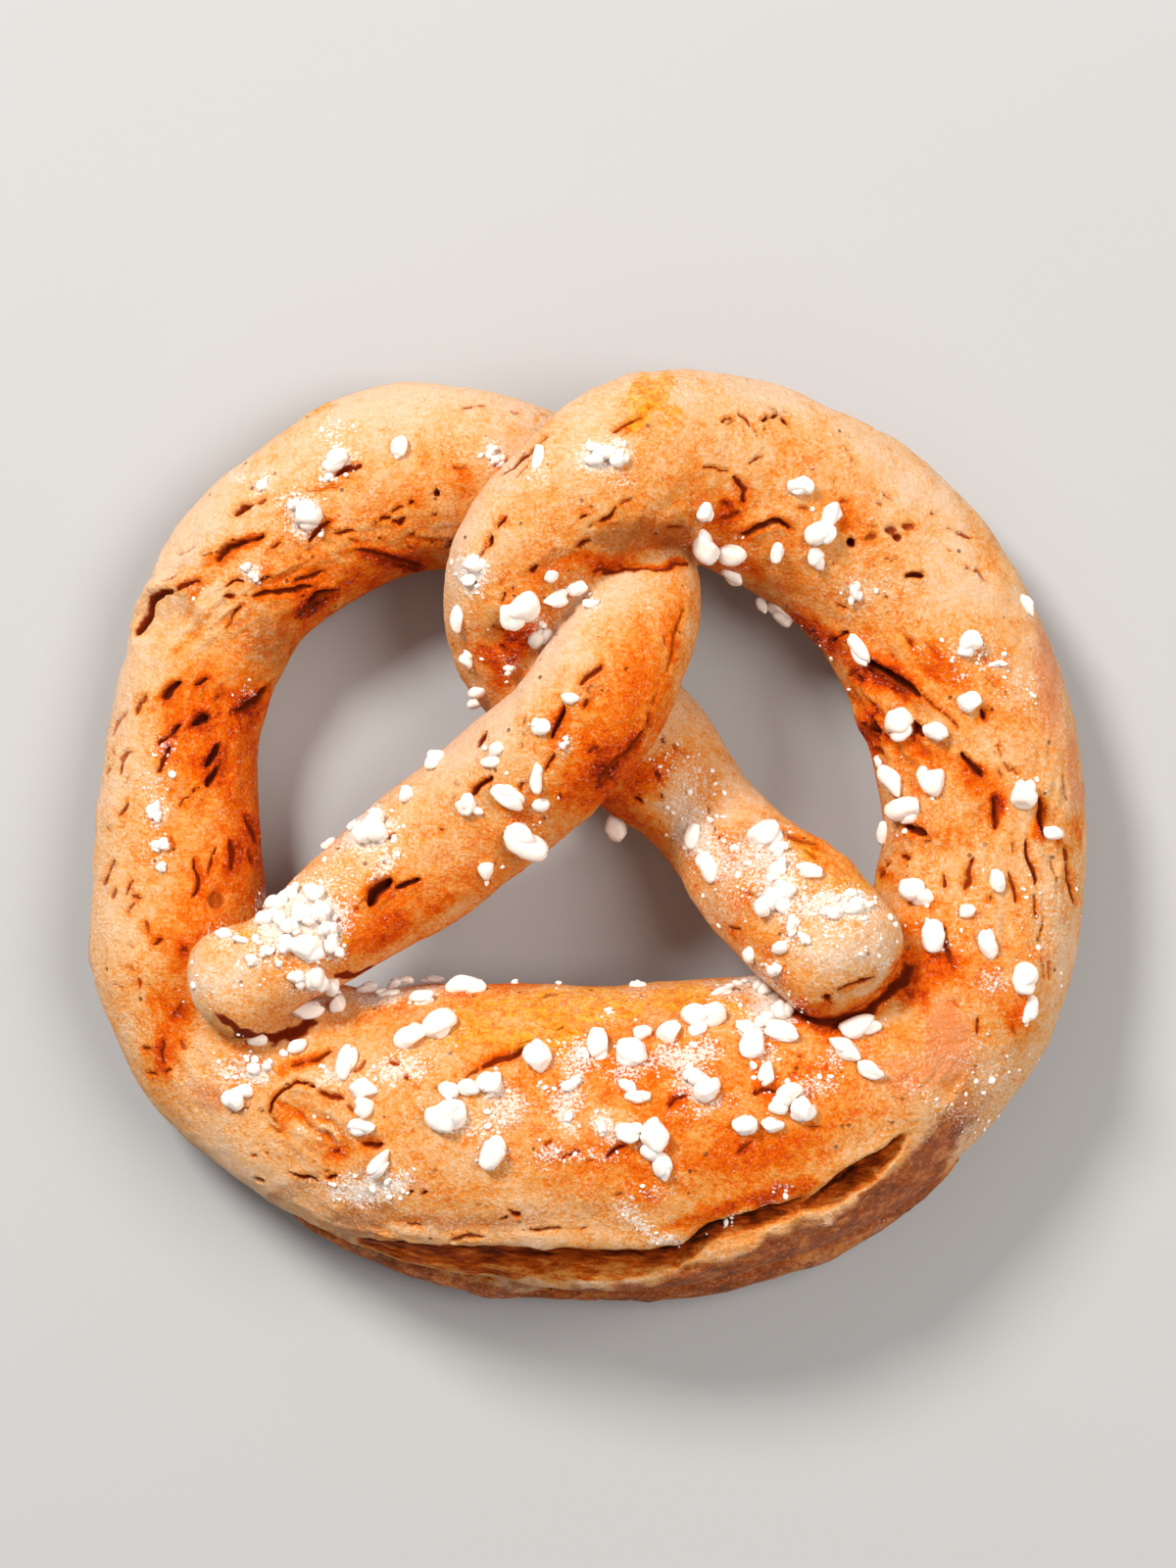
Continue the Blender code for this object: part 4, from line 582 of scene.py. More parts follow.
# Topping grains: a, b, length, breadth, turn in degrees, kind (0 hard chunk, 1 soft frosty lump, 2 thin flake)
GRAINS = [
    (-23.8, 48.8, 3.1, 2.1, 75, 0), (-31.8, 47.2, 3.8, 2.7, 15, 1), (-32.6, 45, 1.5, 1.2, 0, 1),
    (-35.4, 40.3, 3.9, 3.9, 40, 1), (-37, 41.7, 1.7, 1.7, 0, 1), (-40.9, 44.2, 2.2, 1.6, 85, 1),
    (-43.1, 33.7, 1.4, 1.0, 0, 2), (-42.1, 32.5, 1.5, 1.4, 0, 1), (-12.2, 48.2, 2.1, 1.6, 60, 1),
    (-11.3, 47.1, 2.0, 1.7, 0, 1), (-54.5, 3.1, 3.0, 2.2, 80, 1), (-53.8, -1.2, 2.5, 2.0, 0, 1),
    (-53.7, -4, 1.4, 1.4, 0, 1), (-45.8, -12.3, 2.5, 1.6, -10, 1), (-43.7, -13.1, 2.1, 1.0, -10, 1),
    (-42.3, -15.7, 2.0, 1.5, -20, 1), (-38.9, -16.1, 1.1, 1.0, 0, 1), (-40.4, -14.5, 2.2, 1.5, 10, 1),
    (-39.1, -8.3, 3.2, 2.7, 0, 1), (-37, -7.1, 3.0, 2.7, 0, 1), (-34.5, -7.2, 3.0, 2.5, 0, 1),
    (-40.4, -10.5, 3.0, 2.7, 0, 1), (-37.9, -11, 3.4, 3.0, 0, 1), (-35.7, -9.8, 3.0, 3.0, 0, 1),
    (-33.5, -9.5, 2.7, 3.0, 0, 1), (-32.8, -12, 2.7, 2.5, 0, 1), (-35.2, -14.2, 4.4, 3.4, -15, 0),
    (-37.8, -13.6, 2.7, 2.5, 0, 1), (-31.9, -14, 2.7, 2.7, 0, 1), (-36.7, -18.2, 2.5, 2.5, 0, 1),
    (-34.2, -18.2, 3.2, 3.4, 0, 1), (-32.3, -19.2, 2.2, 2.7, 0, 1), (-35.4, -22, 4.7, 2.5, 5, 0),
    (-31.5, -21.1, 2.1, 2.7, 0, 0), (-27.8, -19.4, 3.2, 2.2, 10, 1), (-25.1, -19.8, 3.4, 1.5, 5, 1),
    (-24.4, -17.9, 1.8, 1.6, 0, 1), (-23, -17.2, 2.2, 1.1, 0, 1), (-19.6, -17.4, 3.2, 1.1, -5, 1),
    (-20.9, -20.4, 3.2, 2.3, 15, 0), (-15.4, -18.9, 5.2, 3.0, 10, 0), (-36.6, -26.5, 2.7, 1.7, 20, 0),
    (-41.6, -25.7, 2.7, 1.6, 0, 0), (-42.1, -29.4, 1.8, 1.6, 0, 1), (-40.3, -28.8, 1.4, 1.6, 0, 1),
    (-44.7, -33.1, 3.0, 3.2, 0, 0), (-43.1, -32.1, 2.2, 1.8, 0, 0), (-30.4, -28.5, 4.7, 2.6, 80, 0),
    (-28.2, -31.7, 3.7, 2.7, 0, 0), (-28.2, -34.2, 2.7, 2.5, 90, 0), (-28.5, -36.7, 3.6, 2.2, 0, 0),
    (-26.1, -41.3, 4.2, 2.2, 45, 0), (-22.4, -25.1, 4.4, 2.7, 25, 0), (-18.7, -23.7, 4.7, 3.6, 25, 0),
    (-17.9, -35.3, 5.2, 4.2, 0, 0), (-17.4, -32.2, 2.7, 2.5, 0, 0), (-14.9, -31.6, 3.0, 2.2, 15, 0),
    (-12.3, -30.9, 3.2, 3.2, 60, 0), (-12, -39.9, 4.4, 3.4, 90, 0), (-6.4, -27.7, 4.2, 3.7, 90, 0),
    (-2.1, -31.2, 3.2, 1.7, 20, 1), (-2.5, -35.3, 1.6, 1.1, 80, 1), (1.8, -36.7, 1.5, 1.1, 90, 1),
    (1.2, -26.2, 4.2, 2.6, 90, 0), (-0.7, -27.4, 1.7, 1.7, 0, 1), (5.5, -27.2, 3.9, 3.7, 0, 0),
    (6.9, -24.7, 2.5, 1.8, 20, 0), (10.3, -24.6, 3.2, 2.7, 50, 0), (14.5, -22.5, 5.7, 3.4, 0, 0),
    (13.8, -24.3, 2.7, 1.7, 30, 0), (4.9, -31.4, 2.7, 1.6, -30, 0), (6.3, -32.8, 3.3, 1.7, 5, 0),
    (13.7, -30.4, 3.7, 2.5, 0, 1), (15, -32, 3.4, 3.2, 0, 0), (20.7, -26.1, 4.2, 3.3, 80, 0),
    (19.8, -24.3, 2.5, 2.2, 0, 0), (24.4, -24.6, 4.4, 2.7, -15, 0), (22.2, -23.1, 2.7, 2.2, 0, 1),
    (24.4, -21.9, 3.0, 2.5, 0, 1), (22.4, -30, 3.2, 2.1, 85, 0), (25.1, -32.6, 4.2, 2.7, 25, 0),
    (27.1, -34.3, 3.4, 3.2, 0, 0), (23.9, -34.1, 2.5, 2.0, 0, 0), (19.7, -36.4, 3.2, 2.7, -30, 0),
    (23.2, -36.4, 3.0, 2.0, 0, 0), (5.1, -37.3, 3.4, 2.7, -10, 0), (8.4, -37.6, 4.4, 3.7, 80, 0),
    (7.9, -39.7, 2.7, 2.5, 0, 0), (9.4, -41.7, 3.7, 2.5, -75, 0), (-9.2, -18.4, 1.0, 1.0, 0, 0),
    (-3.7, -18.3, 0.9, 0.6, 0, 0), (6.3, -18.8, 2.2, 1.5, 10, 1), (17, -19.5, 3.4, 1.5, 20, 1),
    (19.2, -18.5, 2.2, 1.0, 10, 1), (2.7, -22, 1.4, 1.0, 0, 1), (23.4, -16.9, 2.2, 2.0, 0, 1),
    (21.9, -19.2, 2.5, 2.0, 0, 1), (20.2, -15, 2.2, 1.7, 70, 0), (24, -14.1, 2.2, 1.7, 10, 0),
    (25.6, -11.4, 2.7, 1.8, 60, 1), (27.2, -12.9, 1.7, 1.6, 0, 1), (30.7, -9.7, 3.2, 1.8, 15, 1),
    (33.3, -8.8, 2.7, 2.3, 0, 1), (35.2, -8.6, 2.7, 1.8, 15, 1), (33, -7.2, 1.8, 1.2, 0, 1),
    (23.2, -8.4, 4.4, 3.7, 0, 1), (24.9, -6.8, 2.7, 2.5, 0, 1), (23.7, -4.3, 3.4, 2.5, 90, 1),
    (22.3, 0.1, 4.4, 3.4, 30, 0), (24, -1.7, 2.5, 2.2, 0, 1), (27.8, -4.4, 3.4, 2.0, -5, 0),
    (13.1, -0.1, 3.3, 2.0, 75, 0), (15, -4, 4.2, 2.5, -65, 0), (2.8, -0.2, 3.7, 2.8, 90, 2),
    (-7.8, -0.8, 6.2, 3.9, -30, 0), (-12.9, -4.5, 2.5, 2.0, 90, 0), (-15.4, 3.9, 3.1, 2.7, 80, 0),
    (-13.9, 3, 1.6, 1.1, -20, 0), (-10, 4.9, 4.6, 2.6, -32, 0), (-6.5, 7.2, 3.9, 1.6, 88, 0),
    (-5.9, 3.8, 2.2, 1.8, 20, 0), (-11.7, 10.8, 2.2, 1.8, 50, 0), (-12.3, 9.3, 2.6, 1.5, 0, 0),
    (-19.3, 9.5, 2.7, 2.3, 80, 0), (-22.8, 5.2, 2.3, 2.0, 80, 0), (-27.1, 0.9, 5.2, 4.7, 60, 1),
    (-29.4, 1.3, 2.2, 1.7, 30, 1), (-32.4, -1.2, 2.2, 1.8, 40, 1), (-5.9, 13.7, 2.5, 2.2, 0, 0),
    (-2.2, 17.2, 2.5, 1.5, -10, 0), (-3, 11.4, 1.4, 1.2, 0, 1), (-13.9, 18, 2.6, 1.6, 30, 0),
    (-14.5, 16.4, 2.2, 1.4, 20, 0), (-15.3, 22.2, 2.8, 2.0, -75, 0), (-9.9, 20.9, 1.7, 1.4, 30, 1),
    (-16.5, 27.2, 3.6, 1.8, 80, 0), (-8.6, 28.2, 5.7, 4.2, 45, 0), (-4.6, 32.6, 2.0, 1.6, 20, 0),
    (-3.9, 29.6, 3.2, 2.3, 35, 0), (-1.5, 31, 2.7, 2.1, 35, 0), (0.4, 29.1, 2.2, 1.8, 30, 1),
    (-6, 24.8, 3.2, 2.8, 60, 1), (-5.7, 26.5, 1.2, 1.0, 0, 1), (-6.3, 47.5, 3.4, 1.6, 80, 2),
    (1.6, 48, 4.2, 3.0, 0, 1), (3.9, 47.5, 2.7, 2.5, 0, 1), (14.8, 40.6, 2.7, 2.2, 70, 0),
    (14.5, 36.4, 5.2, 3.1, -62, 0), (18, 35.4, 3.9, 3.2, -20, 0), (18.1, 32.6, 3.4, 2.2, -42, 2),
    (26.7, 44, 3.4, 2.5, 0, 0), (30.7, 40.3, 3.4, 2.5, 70, 0), (29.2, 37.9, 3.9, 3.3, 40, 0),
    (23.8, 35.5, 3.0, 1.7, 85, 0), (28.7, 34.8, 3.0, 2.2, 90, 0), (24.3, 28.2, 4.2, 3.8, 80, 0),
    (21.4, 28.2, 2.5, 1.4, -70, 2), (33.5, 30.6, 3.2, 2.0, -80, 1), (34, 23.3, 4.6, 2.1, -62, 0),
    (47.9, 24.1, 3.9, 2.8, 45, 0), (51.5, 21.6, 2.5, 0.9, 0, 1), (55.3, 28.9, 3.2, 1.7, -60, 0),
    (47.9, 16.8, 3.1, 2.8, 0, 0), (39.1, 13.9, 4.4, 3.6, 85, 0), (43.7, 13.1, 3.4, 2.3, -20, 0),
    (36.6, 9.2, 1.8, 1.2, 85, 0), (38.1, 7, 4.7, 2.5, -48, 0), (43, 6.8, 3.9, 3.7, 90, 0), (39.5, 3.1, 5.2, 3.4, 5, 0),
    (37.2, 0.3, 3.1, 1.8, 80, 0), (54.9, 5.2, 3.9, 3.4, 80, 0), (58.5, 0.3, 2.7, 1.8, -10, 0),
    (41.3, -7.1, 4.4, 3.6, 0, 0), (51.4, -5.7, 3.1, 2.1, -75, 0), (47.7, -9.5, 2.2, 1.8, 0, 0),
    (43.4, -12.6, 4.4, 3.0, 88, 0), (50.3, -13.7, 3.9, 2.5, -65, 0), (54.9, -18, 4.1, 3.3, 70, 0),
    (55.7, -21.9, 3.7, 2.0, 85, 0), (34.2, -24, 5.4, 2.8, 12, 0), (32.3, -26.8, 4.6, 2.6, -40, 0),
    (35.5, -29.5, 3.7, 2.2, -25, 0), (-14.3, 34.2, 3.2, 2.2, 0, 1), (-15, 32.1, 2.2, 1.5, 20, 1),
]

# ---------------------------------------------------------------------------
# The dough: rope and crust lip melted into one skin
# ---------------------------------------------------------------------------
S = stations()
path, run, place_run = smooth_path(S, 0.9)
mark = dict(zip(PLACE, place_run))
full = rounded(path, bulge=0.55)
full = rounded(full[::-1], bulge=0.8)[::-1]
pts, faces = tube_mesh(full)
rope = mesh_object("dough", pts * MM, faces)

i0, i1 = np.searchsorted(run, mark["belly_left"]), np.searchsorted(run, mark["right_corner"])
belly = path[i0:i1]
along = np.gradient(belly[:, :2], axis=0)
along /= np.linalg.norm(along, axis=1)[:, None]
outward = np.stack([along[:, 1], -along[:, 0]], 1)
share = np.linspace(0.0, 1.0, len(belly))
swell = np.sin(math.pi * share) ** 0.35
lip_r = 6.2 * np.clip(swell, 0.25, 1.0)
reach = belly[:, 3] - lip_r + 3.3 * swell
lip_path = np.column_stack([belly[:, :2] + outward * reach[:, None], np.full(len(belly), 5.8), lip_r])
lpts, lfaces = tube_mesh(lip_path, sides=32)
lip = mesh_object("lip", lpts * MM, lfaces)
bm = bmesh.new()
bm.from_mesh(rope.data)
bm.from_mesh(lip.data)
bm.to_mesh(rope.data)
bm.free()
bpy.data.objects.remove(lip, do_unlink=True)

VOXEL = 0.36
mod = rope.modifiers.new("skin", "REMESH")
mod.mode = "VOXEL"
mod.voxel_size = VOXEL * MM
mod = rope.modifiers.new("soften", "SMOOTH")
mod.factor = 0.5
mod.iterations = 3
me = bake_modifiers(rope)
P = get_points(me) / MM
print("skin vertices", len(P), P.min(0), P.max(0))

# ---------------------------------------------------------------------------
# The crust's relief and colouring
# ---------------------------------------------------------------------------
P[:, 2] = np.maximum(P[:, 2], 0.0)
set_points(me, P * MM)
N = get_normals(me)
V = to_view(P)


def seen_mask(v, z, n, cell=0.7, gap=3.2):
    """1 where a point is on the uppermost skin as seen from above, 0 below it."""
    i = np.floor((v[:, 0] + 90.0) / cell).astype(int)
    j = np.floor((v[:, 1] + 90.0) / cell).astype(int)
    w = int(180.0 / cell) + 2
    top = np.full(w * w, -1.0)
    np.maximum.at(top, i * w + j, z)
    drop = top[i * w + j] - z
    return (1.0 - smooth01(drop, gap, gap + 1.5)) * smooth01(n[:, 2], 0.0, 0.16)


def to_route(q, route):
    """Distance of each point to a route, and how far along it the nearest place is (0..1)."""
    pts = np.asarray(route, float)
    seg = np.diff(pts, axis=0)
    length = np.maximum(np.linalg.norm(seg, axis=1), 1e-6)
    start = np.r_[0.0, np.cumsum(length)]
    best = np.full(len(q), 1e9)
    at = np.zeros(len(q))
    side = np.zeros(len(q))
    for k in range(len(seg)):
        rel = q - pts[k]
        t = np.clip((rel @ seg[k]) / length[k] ** 2, 0.0, 1.0)
        d = np.linalg.norm(rel - t[:, None] * seg[k], axis=1)
        near = d < best
        best[near] = d[near]
        side[near] = np.sign(seg[k][0] * rel[near, 1] - seg[k][1] * rel[near, 0])
        at[near] = (start[k] + t[near] * length[k]) / start[-1]
    to_route.side = side
    return best, at


def box_of(q, lo, hi):
    return np.nonzero((q[:, 0] > lo[0]) & (q[:, 0] < hi[0]) & (q[:, 1] > lo[1]) & (q[:, 1] < hi[1]))[0]


def wobble(p, size, amount, seed):
    return np.stack([noise(p, size, seed), noise(p, size, seed + 5)], 1) * amount


def ellipse(q, a, b, ra, rb, turn):
    c, s = math.cos(math.radians(turn)), math.sin(math.radians(turn))
    x, y = q[:, 0] - a, q[:, 1] - b
    return np.sqrt(((x * c + y * s) / ra) ** 2 + ((y * c - x * s) / rb) ** 2)


# The split round the belly: centre lines with (a, b, half width, depth)
SPLIT = [
    [(-29.4, -50.4, 0.4, 0.3), (-26.0, -51.7, 1.1, 1.6), (-18.6, -53.2, 1.8, 3.0), (-13.0, -53.6, 2.4, 3.8),
     (-7.1, -53.5, 2.3, 4.0), (-0.6, -53.4, 1.9, 3.8), (5.9, -53.4, 1.6, 3.2), (11.1, -52.6, 1.2, 2.2), (15.6, -51.0, 0.6, 0.6)],
    [(12.5, -51.2, 0.6, 0.6), (16.4, -49.9, 1.2, 1.8), (20.2, -48.5, 1.3, 2.0), (24.6, -47.2, 1.0, 1.4), (28.0, -45.6, 0.5, 0.4)],
    [(26.6, -47.0, 0.4, 0.4), (30.8, -45.0, 1.5, 2.6), (34.5, -42.5, 1.7, 3.0), (37.8, -39.8, 1.2, 2.0), (40.2, -37.4, 0.4, 0.3)],
]
# Edges that stand proud: (route, half width, height)
RIDGES = [
    ([(-28.5, -49.4), (-24.6, -49.9), (-18.5, -50.4), (-13.6, -50.5), (-7.4, -50.4), (0.0, -50.9), (6.2, -51.0), (10.2, -50.3)], 1.2, 0.60),
    ([(-26.0, -53.6), (-18.6, -55.6), (-13.0, -56.8), (-7.1, -56.5), (-0.6, -55.8), (5.9, -55.5), (12.4, -54.4), (17.4, -52.4),
      (22.2, -50.6), (26.4, -49.2), (30.4, -47.8), (34.4, -45.2), (38.6, -41.0)], 0.9, 0.70),
    ([(28.0, -44.0), (30.8, -42.6), (34.5, -40.2), (38.4, -38.2)], 1.1, 0.45),
    ([(37.0, 22.2), (39.4, 20.2), (41.9, 18.1), (43.7, 15.7), (45.6, 13.9), (47.4, 12.0)], 0.8, 0.75),
    ([(32.6, 22.4), (35.0, 19.0), (37.0, 15.4), (38.2, 11.0), (38.8, 6.6)], 0.7, 0.55),
    ([(-57.1, 22.8), (-57.2, 25.5), (-56.4, 28.4), (-54.6, 30.9), (-52.0, 31.7), (-49.6, 30.4), (-48.0, 28.0)], 0.8, 0.65),
    ([(19.1, 38.6), (21.9, 40.2), (24.3, 40.6), (26.3, 39.3)], 0.7, 0.35),
    ([(-39.8, -35.2), (-38.2, -32.6), (-35.7, -30.7), (-33.6, -31.0)], 0.8, 0.35),
]
# Hollows: a, b, half sizes, turn, depth
HOLLOWS = [
    (-52.4, 26.6, 4.2, 4.0, 0, 1.2), (-35.6, 26.6, 3.6, 2.6, 30, 0.5), (-35.2, -34.3, 3.6, 2.8, 0, 0.7), (-31.5, -39.4, 3.4, 2.4, 0, 0.5),
    (42.8, 8.6, 5.2, 4.4, -20, 0.8), (37.6, 18.6, 4.6, 1.9, -35, 0.8), (-10.6, 25.0, 3.4, 2.0, 45, 0.9), (0.6, 17.0, 2.6, 1.1, 55, 0.7),
    (-47.6, 16.4, 3.0, 4.0, 20, 0.5), (43.4, -2.0, 2.6, 2.4, 0, 0.5), (52.2, -8.0, 1.4, 7.0, 8, 0.5), (57.6, 2.6, 1.0, 4.4, 0, 0.4),
    (-19.4, -25.6, 4.6, 1.6, 27, 0.4), (-27.0, -38.8, 2.2, 1.4, 0, 0.7), (17.4, 36.6, 2.4, 3.2, 30, 0.4), (50.0, 1.0, 2.4, 3.4, 0, 0.5),
]
# Torn, stringy crust: a, b, half sizes, turn, way the strings run, height
TORN = [
    (38.5, 13.6, 8.4, 6.2, -40, -48, 0.72), (47.0, -7.0, 9.0, 16.0, 0, 78, 0.20), (58.5, 0.6, 3.6, 13.0, 5, 84, 0.34),
    (-48.6, 30.6, 13.0, 8.4, 42, 40, 0.42), (-50.5, 11.0, 9.0, 13.0, 10, 66, 0.26), (-35.0, -36.0, 8.4, 6.0, -20, -35, 0.40),
    (-36.0, 32.4, 8.0, 5.4, 30, 25, 0.36), (-2.0, 19.6, 5.0, 2.2, 55, 55, 0.34), (13.6, 39.0, 12.0, 4.6, -10, 78, 0.24),
    (42.0, 22.6, 6.0, 3.0, -40, -45, 0.32), (-28.0, -48.5, 12.0, 3.4, -14, -10, 0.32), (22.0, -50.0, 22.0, 4.6, 20, 20, 0.28),
    (-6.0, -59.0, 24.0, 3.0, -3, 0, 0.30), (43.0, -30.0, 6.0, 9.0, 30, 50, 0.24), (30.0, -1.6, 8.0, 4.0, -35, -35, 0.34),
    (-27.0, 37.4, 16.0, 5.0, -6, -5, 0.18), (-47.6, -30.0, 6.0, 8.0, -40, -50, 0.22), (38.6, -17.4, 4.0, 5.6, 20, 60, 0.30),
]


def relief(p, n, v, seen):
    """Height along the normal, darkness in a slit (its own red-brown, darker with depth as painted shade), darkening in
    dips (painted shade, partly the crust's own colour round slits), depth to sink by, and place in the gaping split
    (darker towards the upper lip as painted shadow).
    """
    up = np.zeros(len(p))
    pit_and_shade = np.zeros(len(p))
    stain_and_shade = np.zeros(len(p))
    sink = np.zeros(len(p))
    gape_and_shadow = np.zeros(len(p))
    up += 0.42 * fbm(p, 21.0, 2, 3) + 0.20 * fbm(p, 8.0, 2, 9) + 0.10 * fbm(p, 3.0, 2, 23)
    wv = v + wobble(p, 2.1, 0.30, 41) + wobble(p, 0.9, 0.16, 47)
    for a, b, ra, rb, turn, deep in HOLLOWS:
        idx = box_of(v, (a - 1.4 * max(ra, rb), b - 1.4 * max(ra, rb)), (a + 1.4 * max(ra, rb), b + 1.4 * max(ra, rb)))
        r = ellipse(wv[idx], a, b, ra, rb, turn)
        up[idx] -= seen[idx] * deep * (1.0 - smooth01(r, 0.2, 1.15))
    for a, b, ra, rb, turn, way, tall in TORN:
        far = 1.5 * max(ra, rb)
        idx = box_of(v, (a - far, b - far), (a + far, b + far))
        r = ellipse(wv[idx], a, b, ra, rb, turn)
        c, s = math.cos(math.radians(way)), math.sin(math.radians(way))
        q = np.stack([(v[idx, 0] * c + v[idx, 1] * s) / 4.2, (v[idx, 1] * c - v[idx, 0] * s), p[idx, 2] * 0.6], 1)
        q += 0.5 * np.stack([noise(p[idx], 3.0, 61), noise(p[idx], 2.4, 62), np.zeros(len(idx))], 1)
        string = 1.0 - 2.0 * np.abs(noise(q, 1.35, 71)) + 0.5 * noise(q, 0.7, 73)
        w = seen[idx] * (1.0 - smooth01(r, 0.35, 1.1))
        up[idx] += w * tall * string
        # Painted shade in the dips between the strings.
        dip = w * smooth01(-string, -0.05, 0.55) * min(1.0, tall * 1.9)
        stain_and_shade[idx] = np.maximum(stain_and_shade[idx], dip)
        if tall >= 0.3:
            pit_and_shade[idx] = np.maximum(pit_and_shade[idx], 0.60 * w * smooth01(-string, 0.30, 0.95))
    for route, half, tall in RIDGES:
        pts = np.array(route)
        idx = box_of(v, pts.min(0) - 3 * half, pts.max(0) + 3 * half)
        d, t = to_route(wv[idx], pts)
        up[idx] += seen[idx] * tall * np.exp(-(d / half) ** 2) * (0.25 + 0.75 * np.sin(math.pi * t) ** 0.5)
    for line in SPLIT:
        rows = np.array(line)
        idx = box_of(v, rows[:, :2].min(0) - 4.0, rows[:, :2].max(0) + 4.0)
        d, t = to_route(v[idx] + wobble(p[idx], 2.4, 0.26, 41), rows[:, :2])
        seg = np.r_[0.0, np.cumsum(np.linalg.norm(np.diff(rows[:, :2], axis=0), axis=1))]
        seg /= seg[-1]
        half = np.interp(t, seg, rows[:, 2]) * (1.0 + 0.14 * noise(p[idx], 3.0, 81))
        deep = np.interp(t, seg, rows[:, 3]) * (1.0 + 0.15 * noise(p[idx], 4.0, 83))
        off = d * to_route.side / half
        w = seen[idx] * np.where(off > 0, 1.0 - smooth01(off, 0.78, 1.04), 1.0 - smooth01(-off, 0.10, 1.15))
        fibre = noise(p[idx] * np.array([0.3, 1, 1]), 0.9, 85)
        sink[idx] = np.maximum(sink[idx], w * deep * (1.0 + 0.08 * fibre))
        cover = seen[idx] * (1.0 - smooth01(np.abs(off), 0.92, 1.10)) * smooth01(deep, 0.1, 0.8)
        # The split's inside darkens towards the upper lip: painted shadow under the lip.
        gape_and_shadow[idx] = np.maximum(gape_and_shadow[idx], cover * np.clip(0.58 + 0.30 * off + 0.22 * fibre, 0.30, 1.0))
    dig = np.zeros(len(p))
    rim = np.zeros(len(p))
    for route, width, deep in SLITS:
        pts = np.array(route)
        idx = box_of(v, pts.min(0) - 1.5 * width - 0.7, pts.max(0) + 1.5 * width + 0.7)
        idx = idx[seen[idx] > 0.02]
        if not len(idx):
            continue
        d, t = to_route(wv[idx], pts)
        half = 0.50 * width * (0.45 + 0.55 * np.sqrt(np.maximum(1.0 - np.abs(2 * t - 1) ** 2.6, 0.0))) + 0.06
        s = d / half
        dig[idx] = np.maximum(dig[idx], seen[idx] * 0.72 * deep * (1.0 - smooth01(s, 0.3, 1.15)))
        rim[idx] = np.maximum(rim[idx], seen[idx] * 0.16 * deep * np.exp(-((s - 1.55) / 0.5) ** 2))
        # Slit darkness grows with depth: painted shade on the slit's own red-brown.
        pit_and_shade[idx] = np.maximum(pit_and_shade[idx], seen[idx] * min(0.85, 0.30 + 0.42 * deep) * (1.0 - smooth01(s, 0.45, 1.25)))
        stain_and_shade[idx] = np.maximum(stain_and_shade[idx], seen[idx] * min(1.0, deep) * 0.8 * (1.0 - smooth01(s, 0.9, 3.2)))
    for a, b, ra, rb, deep in PORES:
        idx = box_of(v, (a - 2 * ra, b - 2 * rb), (a + 2 * ra, b + 2 * rb))
        r = ellipse(v[idx] + 0.5 * (wv[idx] - v[idx]), a, b, ra, rb, 0.0)
        dig[idx] = np.maximum(dig[idx], seen[idx] * deep * (1.0 - smooth01(r, 0.35, 1.2)))
        # Pore darkness grows with depth: painted shade.
        pit_and_shade[idx] = np.maximum(pit_and_shade[idx], seen[idx] * min(0.9, 0.25 + 0.5 * deep) * (1.0 - smooth01(r, 0.6, 1.25)))
    # pores on the flanks that the list above does not reach
    rng = np.random.default_rng(11)
    low = np.nonzero((seen < 0.25) & (p[:, 2] > 1.2))[0]
    tangent = path[:, :3][np.r_[1:len(path), len(path) - 1]] - path[:, :3][np.r_[0, 0:len(path) - 1]]
    tangent /= np.linalg.norm(tangent, axis=1)[:, None]
    order = np.argsort(p[low, 0])
    low = low[order]
    xs = p[low, 0]
    for k in rng.choice(len(low), min(420, len(low)), replace=False):
        c = p[low[k]]
        if rng.random() > 0.35 + 0.65 * (noise(c[None], 9.0, 91)[0] > -0.1):
            continue
        way = tangent[np.argmin(((path[:, :3] - c) ** 2).sum(1))] + rng.normal(0, 0.35, 3)
        way /= np.linalg.norm(way)
        long_, half, deep = rng.uniform(0.2, 2.4), rng.uniform(0.22, 0.5), rng.uniform(0.4, 1.0)
        lo, hi = np.searchsorted(xs, (c[0] - 3.5, c[0] + 3.5))
        near = low[lo:hi]
        rel = p[near] - c
        near = near[np.abs(rel).max(1) < 3.4]
        rel = p[near] - c + 0.25 * np.stack([noise(p[near], 1.1, 93 + i) for i in range(3)], 1)
        al = rel @ way
        ac = np.linalg.norm(rel - al[:, None] * way, axis=1)
        s = np.sqrt(np.maximum(np.abs(al) - long_ / 2, 0.0) ** 2 + ac ** 2) / half
        dig[near] = np.maximum(dig[near], deep * (1.0 - smooth01(s, 0.3, 1.15)))
        # Pore darkness grows with depth: painted shade.
        pit_and_shade[near] = np.maximum(pit_and_shade[near], min(1.0, 0.3 + 0.5 * deep) * (1.0 - smooth01(s, 0.5, 1.3)))
    up += rim - dig
    return up, pit_and_shade, stain_and_shade, sink, gape_and_shadow


seen = seen_mask(V, P[:, 2], N)
up, pit_and_shade, stain_and_shade, sink, gape_and_shadow = relief(P, N, V, seen)

